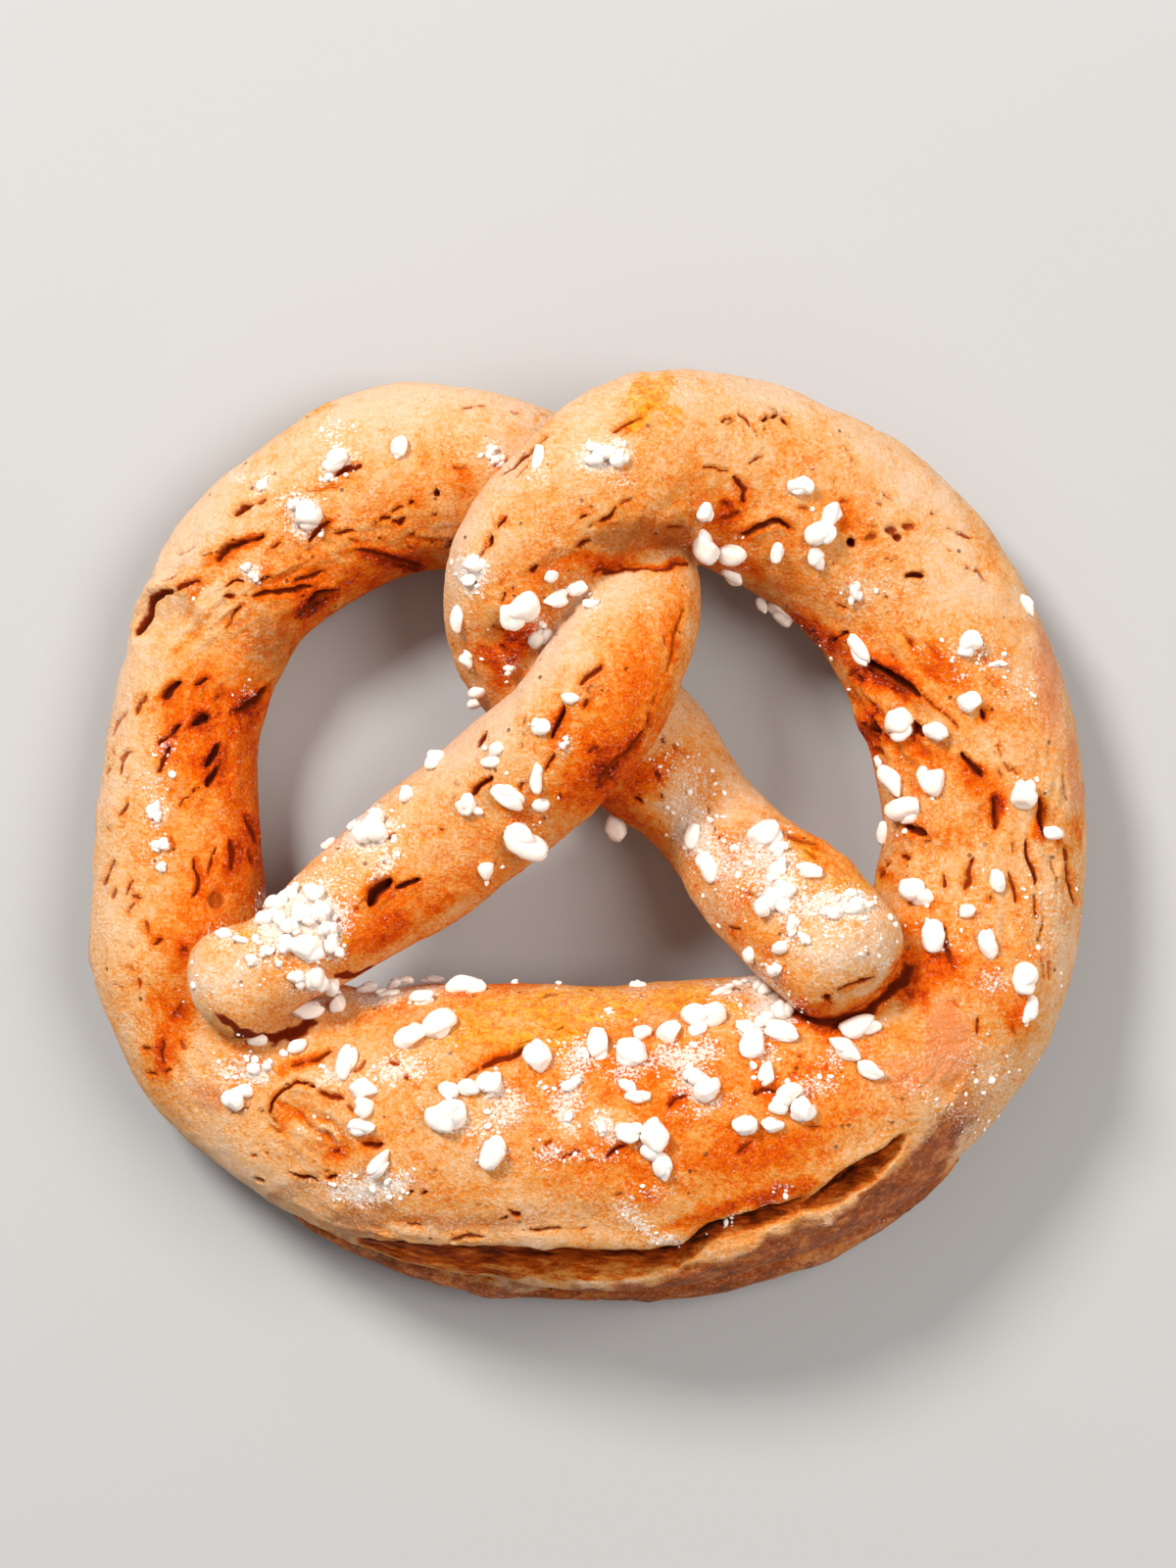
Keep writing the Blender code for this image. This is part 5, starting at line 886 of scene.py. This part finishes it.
# fields of colour
MASKS = {k: np.zeros(len(P)) for k in ("glaze", "gold_highlight", "flour", "red_and_shade", "brown", "salmon", "pale_highlight")}
soft = V + wobble(P, 4.2, 0.9, 101) + wobble(P, 1.4, 0.45, 107) + wobble(P, 0.7, 0.18, 109)
for kind, a, b, ra, rb, turn, power in FIELDS:
    far = 1.6 * max(ra, rb) + 1.2
    idx = box_of(V, (a - far, b - far), (a + far, b + far))
    w = seen[idx] * power * (1.0 - smooth01(ellipse(soft[idx], a, b, ra, rb, turn), 0.25, 1.25))
    got = MASKS[kind]
    got[idx] = 1.0 - (1.0 - got[idx]) * (1.0 - w)
for a, b, long_, wide, turn, sort in GRAINS:
    r = 0.5 * long_ + (0.9 if sort == 1 else 0.6)
    idx = box_of(V, (a - 2 * r, b - 2 * r), (a + 2 * r, b + 2 * r))
    w = seen[idx] * (0.34 if sort == 1 else 0.12) * (1.0 - smooth01(ellipse(soft[idx], a, b, r, r, 0.0), 0.55, 1.2))
    MASKS["flour"][idx] = 1.0 - (1.0 - MASKS["flour"][idx]) * (1.0 - w)

# Bands of colour: kind, route, half width, strength. Some are painted shadow or shade, as noted below.
BANDS = [
    # the belly's lower lip: browner, partly its own colour and partly painted shade of its down-facing side
    ("umber_and_shade", [(-38.0, -46.0), (-27.0, -54.8), (-18.5, -58.0), (-9.0, -59.0), (4.0, -58.4), (14.8, -56.0), (24.6, -52.8), (33.3, -48.6), (41.0, -42.6), (48.0, -34.0), (53.0, -25.0)], 2.9, 0.95),
    # the next four bands, under the left knob, under the right knob and below the left knob's strand, are painted
    # shadow in the creases
    ("pit_and_shade", [(-46.4, -22.0), (-43.5, -24.7), (-40.0, -25.7), (-36.6, -24.6), (-34.0, -22.0)], 0.8, 0.72),
    ("pit_and_shade", [(24.6, -21.0), (27.5, -22.9), (31.5, -23.3), (35.5, -21.9), (39.2, -19.0), (41.2, -15.2)], 1.0, 0.80),
    ("red_and_shade", [(24.6, -21.0), (27.5, -22.6), (31.5, -23.0), (35.5, -21.6), (39.2, -18.6), (41.4, -14.6)], 2.0, 0.8),
    ("pit_and_shade", [(-33.3, -17.8), (-29.6, -17.2), (-24.6, -16.3)], 0.5, 0.7),
    # painted shadow in the crease where the strands cross
    ("pit_and_shade", [(0.0, 32.0), (1.8, 33.4), (4.9, 34.2), (9.9, 34.5), (13.0, 34.6)], 0.4, 0.7),
    # painted highlight along the top of the right loop
    ("gold_highlight", [(11.4, 58.4), (9.4, 56.4), (7.8, 54.6), (5.5, 52.4), (3.9, 50.9)], 1.3, 1.0),
    ("glaze", [(8.4, 55.2), (6.2, 53.0), (3.6, 50.7)], 0.8, 0.8),
    # painted shadow in the crease where the strands cross
    ("red_and_shade", [(0.0, 32.3), (1.8, 33.8), (4.9, 34.6), (9.9, 34.8), (13.0, 34.8)], 0.7, 0.8),
    ("red_and_shade", [(25.0, 26.4), (30.0, 24.4), (36.0, 20.6), (40.0, 17.4)], 1.5, 0.6),
    ("red_and_shade", [(-28.9, 35.6), (-24.0, 34.6), (-21.0, 33.8)], 1.2, 0.5),
    # down the inner side of the left arm: glaze orange, partly painted shade
    ("glaze", [(-41.9, 12.0), (-41.3, 2.0), (-41.6, -5.6)], 2.4, 0.8),
]
MASKS["umber_and_shade"] = np.zeros(len(P))
MASKS["pit_and_shade"] = np.zeros(len(P))
for kind, route, half, power in BANDS:
    pts = np.array(route)
    idx = box_of(V, pts.min(0) - 2.2 * half, pts.max(0) + 2.2 * half)
    d, t = to_route(soft[idx], pts)
    wide = 0.22 if kind == "umber_and_shade" else 0.12
    ends = smooth01(t, 0.0, wide) * (1.0 - smooth01(t, 1.0 - wide, 1.0))
    low = (1.0 - smooth01(P[idx, 2] + 2.0 * fbm(P[idx], 6.0, 2, 113), 21.0, 28.0)) if kind == "umber_and_shade" else seen[idx]
    w = low * power * ends * (1.0 - smooth01(d / half, 0.35, 1.3))
    MASKS[kind][idx] = 1.0 - (1.0 - MASKS[kind][idx]) * (1.0 - w)

# the lowest part of the flanks is browner, darker towards the bottom: partly browning against the baking sheet, partly
# painted shade like the belly's lower lip
flank = 1.0 - smooth01(P[:, 2] + 1.8 * fbm(P, 7.0, 3, 111), 2.5, 15.0)
MASKS["umber_and_shade"] = np.maximum(MASKS["umber_and_shade"], 0.85 * flank * (0.4 + 0.6 * smooth01(-V[:, 1], -10.0, 40.0)))
pit_and_shade = np.maximum(pit_and_shade, MASKS["pit_and_shade"])
frost = MASKS["flour"] * (1.0 - np.minimum(1.0, 2.0 * gape_and_shadow))
up += frost * (0.13 * fbm(P, 1.2, 2, 131) + 0.05)
up += (0.035 + 0.03 * seen) * (1.0 - 2.0 * np.abs(noise(P, 1.9, 137)))

middle = np.array([0.0, 3.0])
out_dir = P[:, :2] - middle
out_dir /= np.maximum(np.linalg.norm(out_dir, axis=1), 1e-6)[:, None]
face_out = (N[:, :2] * out_dir).sum(1)
cloud = fbm(P, 15.0, 2, 141)
# The crust's browning, with painted shade and light: sides facing into the holes are painted darker and outer sides
# paler, partly the crust's own browning.
bake_and_shading = 0.354 - 0.17 * face_out + 0.10 * cloud + 0.09 * fbm(P, 5.0, 3, 151) + 0.07 * fbm(P, 1.6, 2, 157)
# Down-facing outer flanks painted darker: painted shade, partly browning.
bake_and_shading += 0.20 * (1.0 - smooth01(N[:, 2], -0.35, 0.25)) * smooth01(face_out, -0.6, 0.6)
# Painted highlight: the pale fields make the crust lighter.
bake_and_shading -= 0.24 * MASKS["pale_highlight"]
bake_and_shading = bake_and_shading * (1.0 - 0.85 * MASKS["glaze"]) + 0.85 * MASKS["glaze"] * (0.60 + 0.08 * cloud)
# Red fields: red-brown crust, some of them painted shade on inner sides, by the knobs and beside grains.
bake_and_shading = bake_and_shading * (1.0 - MASKS["red_and_shade"]) + MASKS["red_and_shade"] * (0.80 + 0.06 * fbm(P, 2.2, 2, 163))
# Darker in the dips of torn crust and round slits: painted shade, partly the crust's own colour round slits.
bake_and_shading += 0.24 * stain_and_shade
# Painted highlight: crust turned toward the key light is made paler.
lit = N @ np.array([-0.56, 0.66, 0.50])
bake_and_shading -= 0.10 * seen * smooth01(lit, 0.35, 0.95)
# Painted highlight: raised crust is made paler.
bake_and_shading -= 0.10 * np.clip(up - 0.25, 0.0, 0.8)
under = 1.0 - smooth01(P[:, 2], 0.3, 2.0)
bake_and_shading = bake_and_shading * (1.0 - 0.7 * under) + 0.7 * under * (0.70 + 0.12 * fbm(P, 6.0, 3, 171))

hold = smooth01(P[:, 2], 0.0, 0.8)
P2 = P + N * (up * (0.25 + 0.75 * hold))[:, None]
sink = np.minimum(sink, 0.55 * P[:, 2])
P2[:, 2] -= 0.85 * sink
P2[:, :2] -= 0.22 * sink[:, None] * N[:, :2]
P2[:, 2] = np.maximum(P2[:, 2], 0.0)
set_points(me, P2 * MM)


def put(name, values):
    at = me.attributes.new(name, "FLOAT", "POINT")
    at.data.foreach_set("value", np.ascontiguousarray(values, dtype=np.float32))


put("bake_and_shading", np.clip(bake_and_shading, 0.0, 1.0))
put("pit_and_shade", np.clip(pit_and_shade, 0.0, 1.0))
put("frost", np.clip(frost * (1.0 - 0.8 * pit_and_shade), 0.0, 1.0))
put("gape_and_shadow", np.clip(gape_and_shadow, 0.0, 1.0))
put("gold_highlight", np.clip(MASKS["gold_highlight"], 0.0, 1.0))
put("rosy", np.clip(MASKS["salmon"], 0.0, 1.0))
put("brown_and_shade", np.clip(MASKS["brown"], 0.0, 1.0))
put("umber_and_shade", np.clip(MASKS["umber_and_shade"], 0.0, 1.0))
put("shine", np.clip(0.6 * MASKS["glaze"] + 0.8 * MASKS["gold_highlight"], 0.0, 1.0))

group = rope.vertex_groups.new(name="keep")
keep = np.clip(0.15 + 0.55 * seen + 0.6 * np.maximum(pit_and_shade, gape_and_shadow), 0.0, 1.0)
for level in range(11):
    ids = np.nonzero(np.round(keep * 10).astype(int) == level)[0]
    if len(ids) and level:
        group.add(ids.tolist(), level / 10.0, "REPLACE")
TARGET = 196000
tris = sum(me.polygons[i].loop_total - 2 for i in range(len(me.polygons)))
mod = rope.modifiers.new("thin", "DECIMATE")
mod.ratio = min(1.0, TARGET / tris)
mod.vertex_group = "keep"
mod.invert_vertex_group = True
mod.vertex_group_factor = 1.0
mod.use_collapse_triangulate = True
me = bake_modifiers(rope)
me.validate(clean_customdata=False)
me.update()
me.shade_smooth()
print("dough", len(me.vertices), len(me.polygons), [a.name for a in me.attributes])

# ---------------------------------------------------------------------------
# Materials
# ---------------------------------------------------------------------------
def lin(r, g, b):
    f = lambda c: c / 12.92 if c <= 0.04045 else ((c + 0.055) / 1.055) ** 2.4
    return (f(r / 255.0), f(g / 255.0), f(b / 255.0), 1.0)


class Nodes:
    def __init__(self, name):
        self.mat = bpy.data.materials.new(name)
        self.mat.use_nodes = True
        self.tree = self.mat.node_tree
        self.shader = self.tree.nodes["Principled BSDF"]
        self.where = self.node("ShaderNodeTexCoord").outputs["Object"]

    def node(self, kind, **props):
        n = self.tree.nodes.new(kind)
        for k, v in props.items():
            setattr(n, k, v)
        return n

    def link(self, a, b):
        self.tree.links.new(a, b)

    def attr(self, name):
        n = self.node("ShaderNodeAttribute", attribute_name=name)
        return n.outputs["Fac"]

    def noise(self, size_mm, detail=3.0, rough=0.55, where=None, distortion=0.0):
        n = self.node("ShaderNodeTexNoise")
        n.inputs["Scale"].default_value = 1000.0 / size_mm
        n.inputs["Detail"].default_value = detail
        n.inputs["Roughness"].default_value = rough
        n.inputs["Distortion"].default_value = distortion
        self.link(where or self.where, n.inputs["Vector"])
        return n.outputs["Fac"]

    def math(self, op, a, b=None, c=None, clamp=False):
        n = self.node("ShaderNodeMath", operation=op, use_clamp=clamp)
        for i, x in enumerate((a, b, c)):
            if x is None:
                continue
            if isinstance(x, (int, float)):
                n.inputs[i].default_value = x
            else:
                self.link(x, n.inputs[i])
        return n.outputs[0]

    def span(self, x, lo, hi, to_lo=0.0, to_hi=1.0, smooth=True):
        n = self.node("ShaderNodeMapRange", interpolation_type="SMOOTHSTEP" if smooth else "LINEAR")
        self.link(x, n.inputs["Value"])
        for k, v in (("From Min", lo), ("From Max", hi), ("To Min", to_lo), ("To Max", to_hi)):
            n.inputs[k].default_value = v
        return n.outputs["Result"]

    def ramp(self, x, stops):
        n = self.node("ShaderNodeValToRGB")
        r = n.color_ramp
        while len(r.elements) < len(stops):
            r.elements.new(0.5)
        for e, (pos, col) in zip(r.elements, stops):
            e.position = pos
            e.color = col
        self.link(x, n.inputs["Fac"])
        return n.outputs["Color"]

    def mix(self, fac, a, b, mode="MIX"):
        n = self.node("ShaderNodeMix", data_type="RGBA", blend_type=mode)
        for k, v in ((0, fac), (6, a), (7, b)):
            if isinstance(v, (int, float)):
                n.inputs[k].default_value = v
            elif isinstance(v, tuple):
                n.inputs[k].default_value = v
            else:
                self.link(v, n.inputs[k])
        return n.outputs[2]


RAMP = [
    (0.00, lin(250, 208, 174)), (0.20, lin(249, 189, 130)), (0.38, lin(247, 159, 68)), (0.55, lin(244, 116, 4)),
    (0.70, lin(230, 82, 0)), (0.85, lin(172, 46, 0)), (1.00, lin(92, 22, 3)),
]
crust = Nodes("baked_crust")
fine = crust.noise(1.0, 6.0, 0.72)
very = crust.noise(0.42, 4.0, 0.75)
mid = crust.noise(3.2, 4.0, 0.6)
bake_and_shading_in = crust.attr("bake_and_shading")
# Painted shade and highlight: darker where the bump's fine noise is low, paler where it is high; the coarser noise only
# varies the tone.
bake_with_hollow_shade = crust.math("ADD", bake_and_shading_in, crust.math("ADD", crust.span(mid, 0.3, 0.7, -0.08, 0.08, False), crust.math("ADD", crust.span(fine, 0.3, 0.7, 0.15, -0.15, False), crust.span(very, 0.3, 0.7, 0.12, -0.12, False))), clamp=True)
colour = crust.ramp(bake_with_hollow_shade, RAMP)
ragged = crust.span(crust.noise(0.7, 3.0, 0.7), 0.3, 0.7, -0.28, 0.28, False)


def edge(name, lo, hi, rag=1.0):
    return crust.span(crust.math("MULTIPLY_ADD", ragged, rag, crust.attr(name)), lo, hi)


# Brown fields: partly painted shade in creases by the crossing and the right knob.
colour = crust.mix(crust.math("MULTIPLY", edge("brown_and_shade", 0.15, 0.75, 0.5), 0.70), colour, lin(168, 86, 36))
# Belly's lower lip and lowest flanks: browner, partly painted shade.
umber_and_shade = crust.ramp(crust.math("ADD", crust.math("MULTIPLY", mid, 0.5), crust.math("MULTIPLY", fine, 0.5)), [(0.38, lin(98, 28, 2)), (0.50, lin(168, 64, 8)), (0.62, lin(226, 136, 66))])
colour = crust.mix(crust.math("MULTIPLY", edge("umber_and_shade", 0.12, 0.6, 0.4), 0.86), colour, umber_and_shade)
colour = crust.mix(crust.math("MULTIPLY", edge("rosy", 0.15, 0.8, 0.5), 0.62), colour, lin(236, 126, 72))
# Painted highlight: golden yellow on the gold fields.
colour = crust.mix(crust.math("MULTIPLY", edge("gold_highlight", 0.12, 0.6, 0.6), 0.88), colour, crust.mix(crust.span(fine, 0.35, 0.62), lin(242, 124, 0), lin(254, 184, 44)))
specks = crust.node("ShaderNodeTexVoronoi", feature="F1")
specks.inputs["Scale"].default_value = 1000.0 / 2.4
crust.link(crust.where, specks.inputs["Vector"])
pin = crust.span(specks.outputs["Distance"], 0.07, 0.13, 1.0, 0.0)
pin = crust.math("MULTIPLY", pin, crust.span(crust.noise(6.0, 2.0), 0.48, 0.60))
colour = crust.mix(crust.math("MULTIPLY", pin, 0.75), colour, lin(120, 44, 14))
dust = crust.math("MULTIPLY", crust.math("MULTIPLY", crust.span(very, 0.48, 0.62), crust.span(mid, 0.38, 0.60)), crust.math("MULTIPLY", crust.span(bake_and_shading_in, 0.30, 0.52, 1.0, 0.0), crust.span(crust.attr("umber_and_shade"), 0.1, 0.5, 1.0, 0.15)))
colour = crust.mix(crust.math("MULTIPLY", dust, 0.45), colour, lin(255, 228, 204))
sugar = crust.noise(0.38, 3.0, 0.7)
frosted = crust.math("MULTIPLY_ADD", crust.span(sugar, 0.34, 0.66, -0.62, 0.62, False), 0.80, crust.math("MULTIPLY", crust.attr("frost"), 0.86))
colour = crust.mix(crust.math("MULTIPLY", crust.span(frosted, 0.34, 0.66), 0.88), colour, lin(255, 248, 242))
stretch = crust.node("ShaderNodeMapping")
stretch.inputs["Scale"].default_value = (0.25, 1.0, 1.0)
crust.link(crust.where, stretch.inputs["Vector"])
fibres = crust.span(crust.noise(0.55, 4.0, 0.7, stretch.outputs["Vector"]), 0.3, 0.7, -0.20, 0.20, False)
# Inside the split: fibrous orange-brown crust, darker towards the upper lip as painted shadow.
torn_and_shadow = crust.ramp(crust.math("ADD", crust.attr("gape_and_shadow"), fibres), [(0.22, lin(240, 160, 76)), (0.40, lin(214, 98, 20)), (0.62, lin(150, 56, 8)), (0.82, lin(70, 22, 3)), (1.0, lin(34, 10, 2))])
colour = crust.mix(crust.span(crust.attr("gape_and_shadow"), 0.10, 0.30), colour, torn_and_shadow)
# Slits and pores: their own red-brown, darker with depth as painted shade; the bands under the knobs and in the
# crossing's crease are painted shadow.
pit_and_shade_mask = edge("pit_and_shade", 0.22, 0.62, 0.25)
pit_and_shade_col = crust.ramp(crust.attr("pit_and_shade"), [(0.3, lin(204, 84, 8)), (0.6, lin(146, 46, 5)), (0.85, lin(84, 24, 5)), (1.0, lin(48, 14, 4))])
colour = crust.mix(pit_and_shade_mask, colour, pit_and_shade_col)
crust.link(colour, crust.shader.inputs["Base Color"])
rough = crust.math("MULTIPLY_ADD", crust.attr("shine"), -0.22, crust.span(mid, 0.3, 0.7, 0.56, 0.70, False))
crust.link(rough, crust.shader.inputs["Roughness"])
crust.shader.inputs["Specular IOR Level"].default_value = 0.06
crust.shader.inputs["Subsurface Weight"].default_value = 0.06
crust.shader.inputs["Subsurface Radius"].default_value = (1.0, 0.35, 0.12)
crust.shader.inputs["Subsurface Scale"].default_value = 0.0012
height = crust.math("MULTIPLY_ADD", fine, 1.0, crust.math("MULTIPLY", very, 0.65))
height = crust.math("MULTIPLY_ADD", pin, -0.9, height)
height = crust.math("MULTIPLY_ADD", crust.math("MULTIPLY", crust.attr("frost"), sugar), 0.35, height)
bump = crust.node("ShaderNodeBump")
bump.inputs["Strength"].default_value = 1.0
bump.inputs["Distance"].default_value = 0.00065
crust.link(height, bump.inputs["Height"])
crust.link(bump.outputs["Normal"], crust.shader.inputs["Normal"])
me.materials.clear()
me.materials.append(crust.mat)
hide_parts("pretzel")
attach(rope, "root")

# ---------------------------------------------------------------------------
# Topping grains and crumbs
# ---------------------------------------------------------------------------
PD = get_points(me) / MM
tri = np.empty(len(me.polygons) * 3, dtype=np.int32)
me.polygons.foreach_get("vertices", tri)
skin = BVHTree.FromPolygons([tuple(p) for p in PD.tolist()], tri.reshape(-1, 3).tolist())


def ray_of(a, b):
    d = Vector((a, b, VIEW_Z)) - Vector((0.0, CAM_Y, CAM_H))
    return Vector((0.0, CAM_Y, CAM_H)), d.normalized()


def land(a, b):
    """Where the line of sight through (a, b) meets the crust, or the nearest crust to it."""
    o, d = ray_of(a, b)
    hit, n, _, _ = skin.ray_cast(o, d)
    if hit is not None:
        return np.array(hit), np.array(n), True
    best = None
    for z in np.linspace(6.0, 30.0, 25):
        q = o + d * ((CAM_H - z) / -d.z)
        near, n, _, dist = skin.find_nearest(q)
        if best is None or dist < best[0]:
            best = (dist, np.array(q), np.array(near), np.array(n))
    return best[2] * 0.55 + best[1] * 0.45, best[3], False


def ball(level):
    bm = bmesh.new()
    bmesh.ops.create_icosphere(bm, subdivisions=level, radius=1.0)
    p = np.array([v.co[:] for v in bm.verts])
    f = np.array([[v.index for v in face.verts] for face in bm.faces])
    bm.free()
    return p / np.linalg.norm(p, axis=1)[:, None], f


BALLS = {k: ball(k) for k in (1, 2, 3, 4)}


def chunk(rng, level, planes, sharp, rugged):
    """A grain of unit size: a ball cut by soft planes and roughened."""
    d, f = BALLS[level]
    nrm = rng.normal(size=(planes, 3))
    nrm /= np.linalg.norm(nrm, axis=1)[:, None]
    far = rng.uniform(0.62, 1.0, planes)
    s = np.maximum(d @ nrm.T, 0.0) / far
    r = (np.sum(s ** sharp, axis=1) + (1.0 / 1.15) ** sharp) ** (-1.0 / sharp)
    off = rng.uniform(0, 50, 3)
    r = r * (1.0 + rugged * fbm(d + off, 0.75, 3, 7))
    p = d * r[:, None]
    p -= 0.5 * (p.max(0) + p.min(0))
    return p / (0.5 * (p.max(0) - p.min(0))), f


def clump(rng, level, count, planes, sharp, rugged, spread):
    """Several chunks grown together, longest along x, of unit half size."""
    pts, faces, base = [], [], 0
    for k in range(count):
        p, f = chunk(rng, level, planes, sharp, rugged)
        turn = rng.normal(size=(3, 3))
        turn, _ = np.linalg.qr(turn)
        size = 1.0 if k == 0 else rng.uniform(0.55, 0.9)
        at = np.zeros(3) if k == 0 else np.array([rng.uniform(-1, 1) * spread * 1.3, rng.uniform(-1, 1) * spread, rng.uniform(-0.5, 0.3) * spread])
        pts.append(p @ turn * size * np.array([1.0, 0.85, 0.8]) + at)
        faces.append(f + base)
        base += len(p)
    p = np.vstack(pts)
    p -= 0.5 * (p.max(0) + p.min(0))
    return p / (0.5 * (p.max(0) - p.min(0))), np.vstack(faces)


def frame_on(n, turn, lean):
    """Axes for a grain lying on a surface with normal n, its long side turned by turn degrees."""
    z = np.array([0.0, 0.0, 1.0]) * (1.0 - lean) + n * lean
    z /= np.linalg.norm(z)
    x = np.array([math.cos(math.radians(turn)), math.sin(math.radians(turn)), 0.0])
    x = x - z * (x @ z)
    x /= np.linalg.norm(x)
    return np.stack([x, np.cross(z, x), z], 1)


def joined(name, parts):
    pts, faces, base = [], [], 0
    for p, f in parts:
        pts.append(p)
        faces.append(f + base)
        base += len(p)
    pts, faces = np.vstack(pts), np.vstack(faces)
    m = bpy.data.meshes.new(name)
    m.from_pydata([tuple(q) for q in (pts * MM).tolist()], [], faces.tolist())
    m.update()
    m.shade_smooth()
    ob = bpy.data.objects.new(name, m)
    bpy.context.scene.collection.objects.link(ob)
    return ob


rng = np.random.default_rng(29)
parts = []
for a, b, long_, wide, turn, sort in GRAINS:
    big = long_ * wide > 5.0
    if sort == 0:
        p, f = clump(rng, 3 if big else 2, 2 if big else 1, int(rng.integers(6, 9)), 26.0, 0.10, 0.60)
        thick = 0.80 * wide
    elif sort == 1:
        p, f = clump(rng, 2, 4, int(rng.integers(7, 10)), 12.0, 0.16, 0.8)
        thick = 0.72 * wide
    else:
        p, f = clump(rng, 2, 2, 9, 16.0, 0.10, 0.5)
        thick = 0.5 * wide
    c, n, on = land(a, b)
    axes = frame_on(n, turn, 0.45 if on else 0.2)
    p = p * np.array([long_, wide, thick]) * 0.5
    _, sight = ray_of(a, b)
    lift = 0.24 * thick / max(float(n[2]), 0.45) if on else 0.0
    parts.append((p @ axes.T + c - np.array(sight) * lift, f))
salt = joined("salt", parts)

# crumbs of the same stuff, thickest where the crust is dusted
parts = []
spots = [row for row in FIELDS if row[0] == "flour"]
weight = np.array([row[3] * row[4] * row[6] for row in spots])
weight /= weight.sum()
for k in range(1000):
    if k % 5 < 4:
        _, a, b, ra, rb, turn, _ = spots[rng.choice(len(spots), p=weight)]
        r, t = math.sqrt(rng.random()) * 1.1, rng.uniform(0, 2 * math.pi)
        c, s = math.cos(math.radians(turn)), math.sin(math.radians(turn))
        x, y = r * ra * math.cos(t), r * rb * math.sin(t)
        a, b = a + x * c - y * s, b + x * s + y * c
    else:
        a, b, long_, wide = GRAINS[rng.integers(len(GRAINS))][:4]
        t, r = rng.uniform(0, 2 * math.pi), 0.5 * long_ + abs(rng.normal(0.2, 0.8))
        a, b = a + r * math.cos(t), b + r * math.sin(t)
    size = float(np.clip(rng.lognormal(-0.95, 0.45), 0.16, 1.15))
    c, n, on = land(a, b)
    if not on or n[2] < 0.15:
        continue
    p, f = chunk(rng, 1 if size < 0.55 else 2, 7, 10.0, 0.10)
    axes = frame_on(n, rng.uniform(0, 360), 0.8)
    p = p * np.array([size, size * rng.uniform(0.6, 0.95), size * 0.6]) * 0.5
    parts.append((p @ axes.T + c + n * size * 0.12, f))
crumbs = joined("crumbs", parts)

white = Nodes("salt_grain")
tint = white.noise(1.6, 3.0, 0.6)
white.link(white.ramp(tint, [(0.30, lin(244, 230, 222)), (0.55, lin(253, 246, 241)), (0.8, lin(255, 252, 249))]), white.shader.inputs["Base Color"])
white.link(white.span(tint, 0.3, 0.7, 0.42, 0.60, False), white.shader.inputs["Roughness"])
white.shader.inputs["Subsurface Weight"].default_value = 0.25
white.shader.inputs["Subsurface Radius"].default_value = (1.0, 0.85, 0.75)
white.shader.inputs["Subsurface Scale"].default_value = 0.0008
white.shader.inputs["Specular IOR Level"].default_value = 0.35
grit = white.math("MULTIPLY_ADD", white.noise(0.45, 4.0, 0.7), 0.6, white.noise(1.3, 2.0, 0.5))
bump = white.node("ShaderNodeBump")
bump.inputs["Strength"].default_value = 0.5
bump.inputs["Distance"].default_value = 0.00025
white.link(grit, bump.inputs["Height"])
white.link(bump.outputs["Normal"], white.shader.inputs["Normal"])
for ob in (salt, crumbs):
    ob.data.materials.append(white.mat)
    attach(ob, "root")
    print(ob.name, len(ob.data.polygons))

FLOOR_COLOUR = (0.45, 0.465, 0.49, 1.0)
LIGHTS = [
    ("key", (-0.46, 0.56, 0.70), 0.28, 11.0, (1.0, 0.95, 0.87)),
    ("fill", (0.50, 0.10, 0.80), 0.60, 5.9, (1.0, 0.93, 0.84)),
]
WORLD_COLOUR = (1.0, 0.95, 0.88, 1.0)
WORLD_STRENGTH = 0.35

# ---------------------------------------------------------------------------
# Floor and light
# ---------------------------------------------------------------------------
bm = bmesh.new()
bmesh.ops.create_grid(bm, x_segments=1, y_segments=1, size=1.5)
fme = bpy.data.meshes.new("floor")
bm.to_mesh(fme)
bm.free()
floor = bpy.data.objects.new("floor", fme)
bpy.context.scene.collection.objects.link(floor)
fmat = bpy.data.materials.new("floor")
fmat.use_nodes = True
fb = fmat.node_tree.nodes["Principled BSDF"]
fb.inputs["Base Color"].default_value = FLOOR_COLOUR
fb.inputs["Roughness"].default_value = 0.9
fb.inputs["Specular IOR Level"].default_value = 0.1
fme.materials.append(fmat)


def area_light(name, loc, target, size, power, colour):
    ld = bpy.data.lights.new(name, "AREA")
    ld.shape = "DISK"
    ld.size = size
    ld.energy = power
    ld.color = colour
    ob = bpy.data.objects.new(name, ld)
    ob.location = loc
    ob.rotation_euler = (Vector(target) - Vector(loc)).to_track_quat("-Z", "Y").to_euler()
    bpy.context.scene.collection.objects.link(ob)
    return ob


for name, loc, size, power, colour in LIGHTS:
    area_light(name, loc, (0.0, 0.0, 0.01), size, power, colour)

world = bpy.data.worlds.new("world")
world.use_nodes = True
bg = world.node_tree.nodes["Background"]
bg.inputs["Color"].default_value = WORLD_COLOUR
bg.inputs["Strength"].default_value = WORLD_STRENGTH
bpy.context.scene.world = world
view = bpy.context.scene.view_settings
view.view_transform = "Standard"
view.look = "None"
view.exposure = 0.0
view.gamma = 1.0
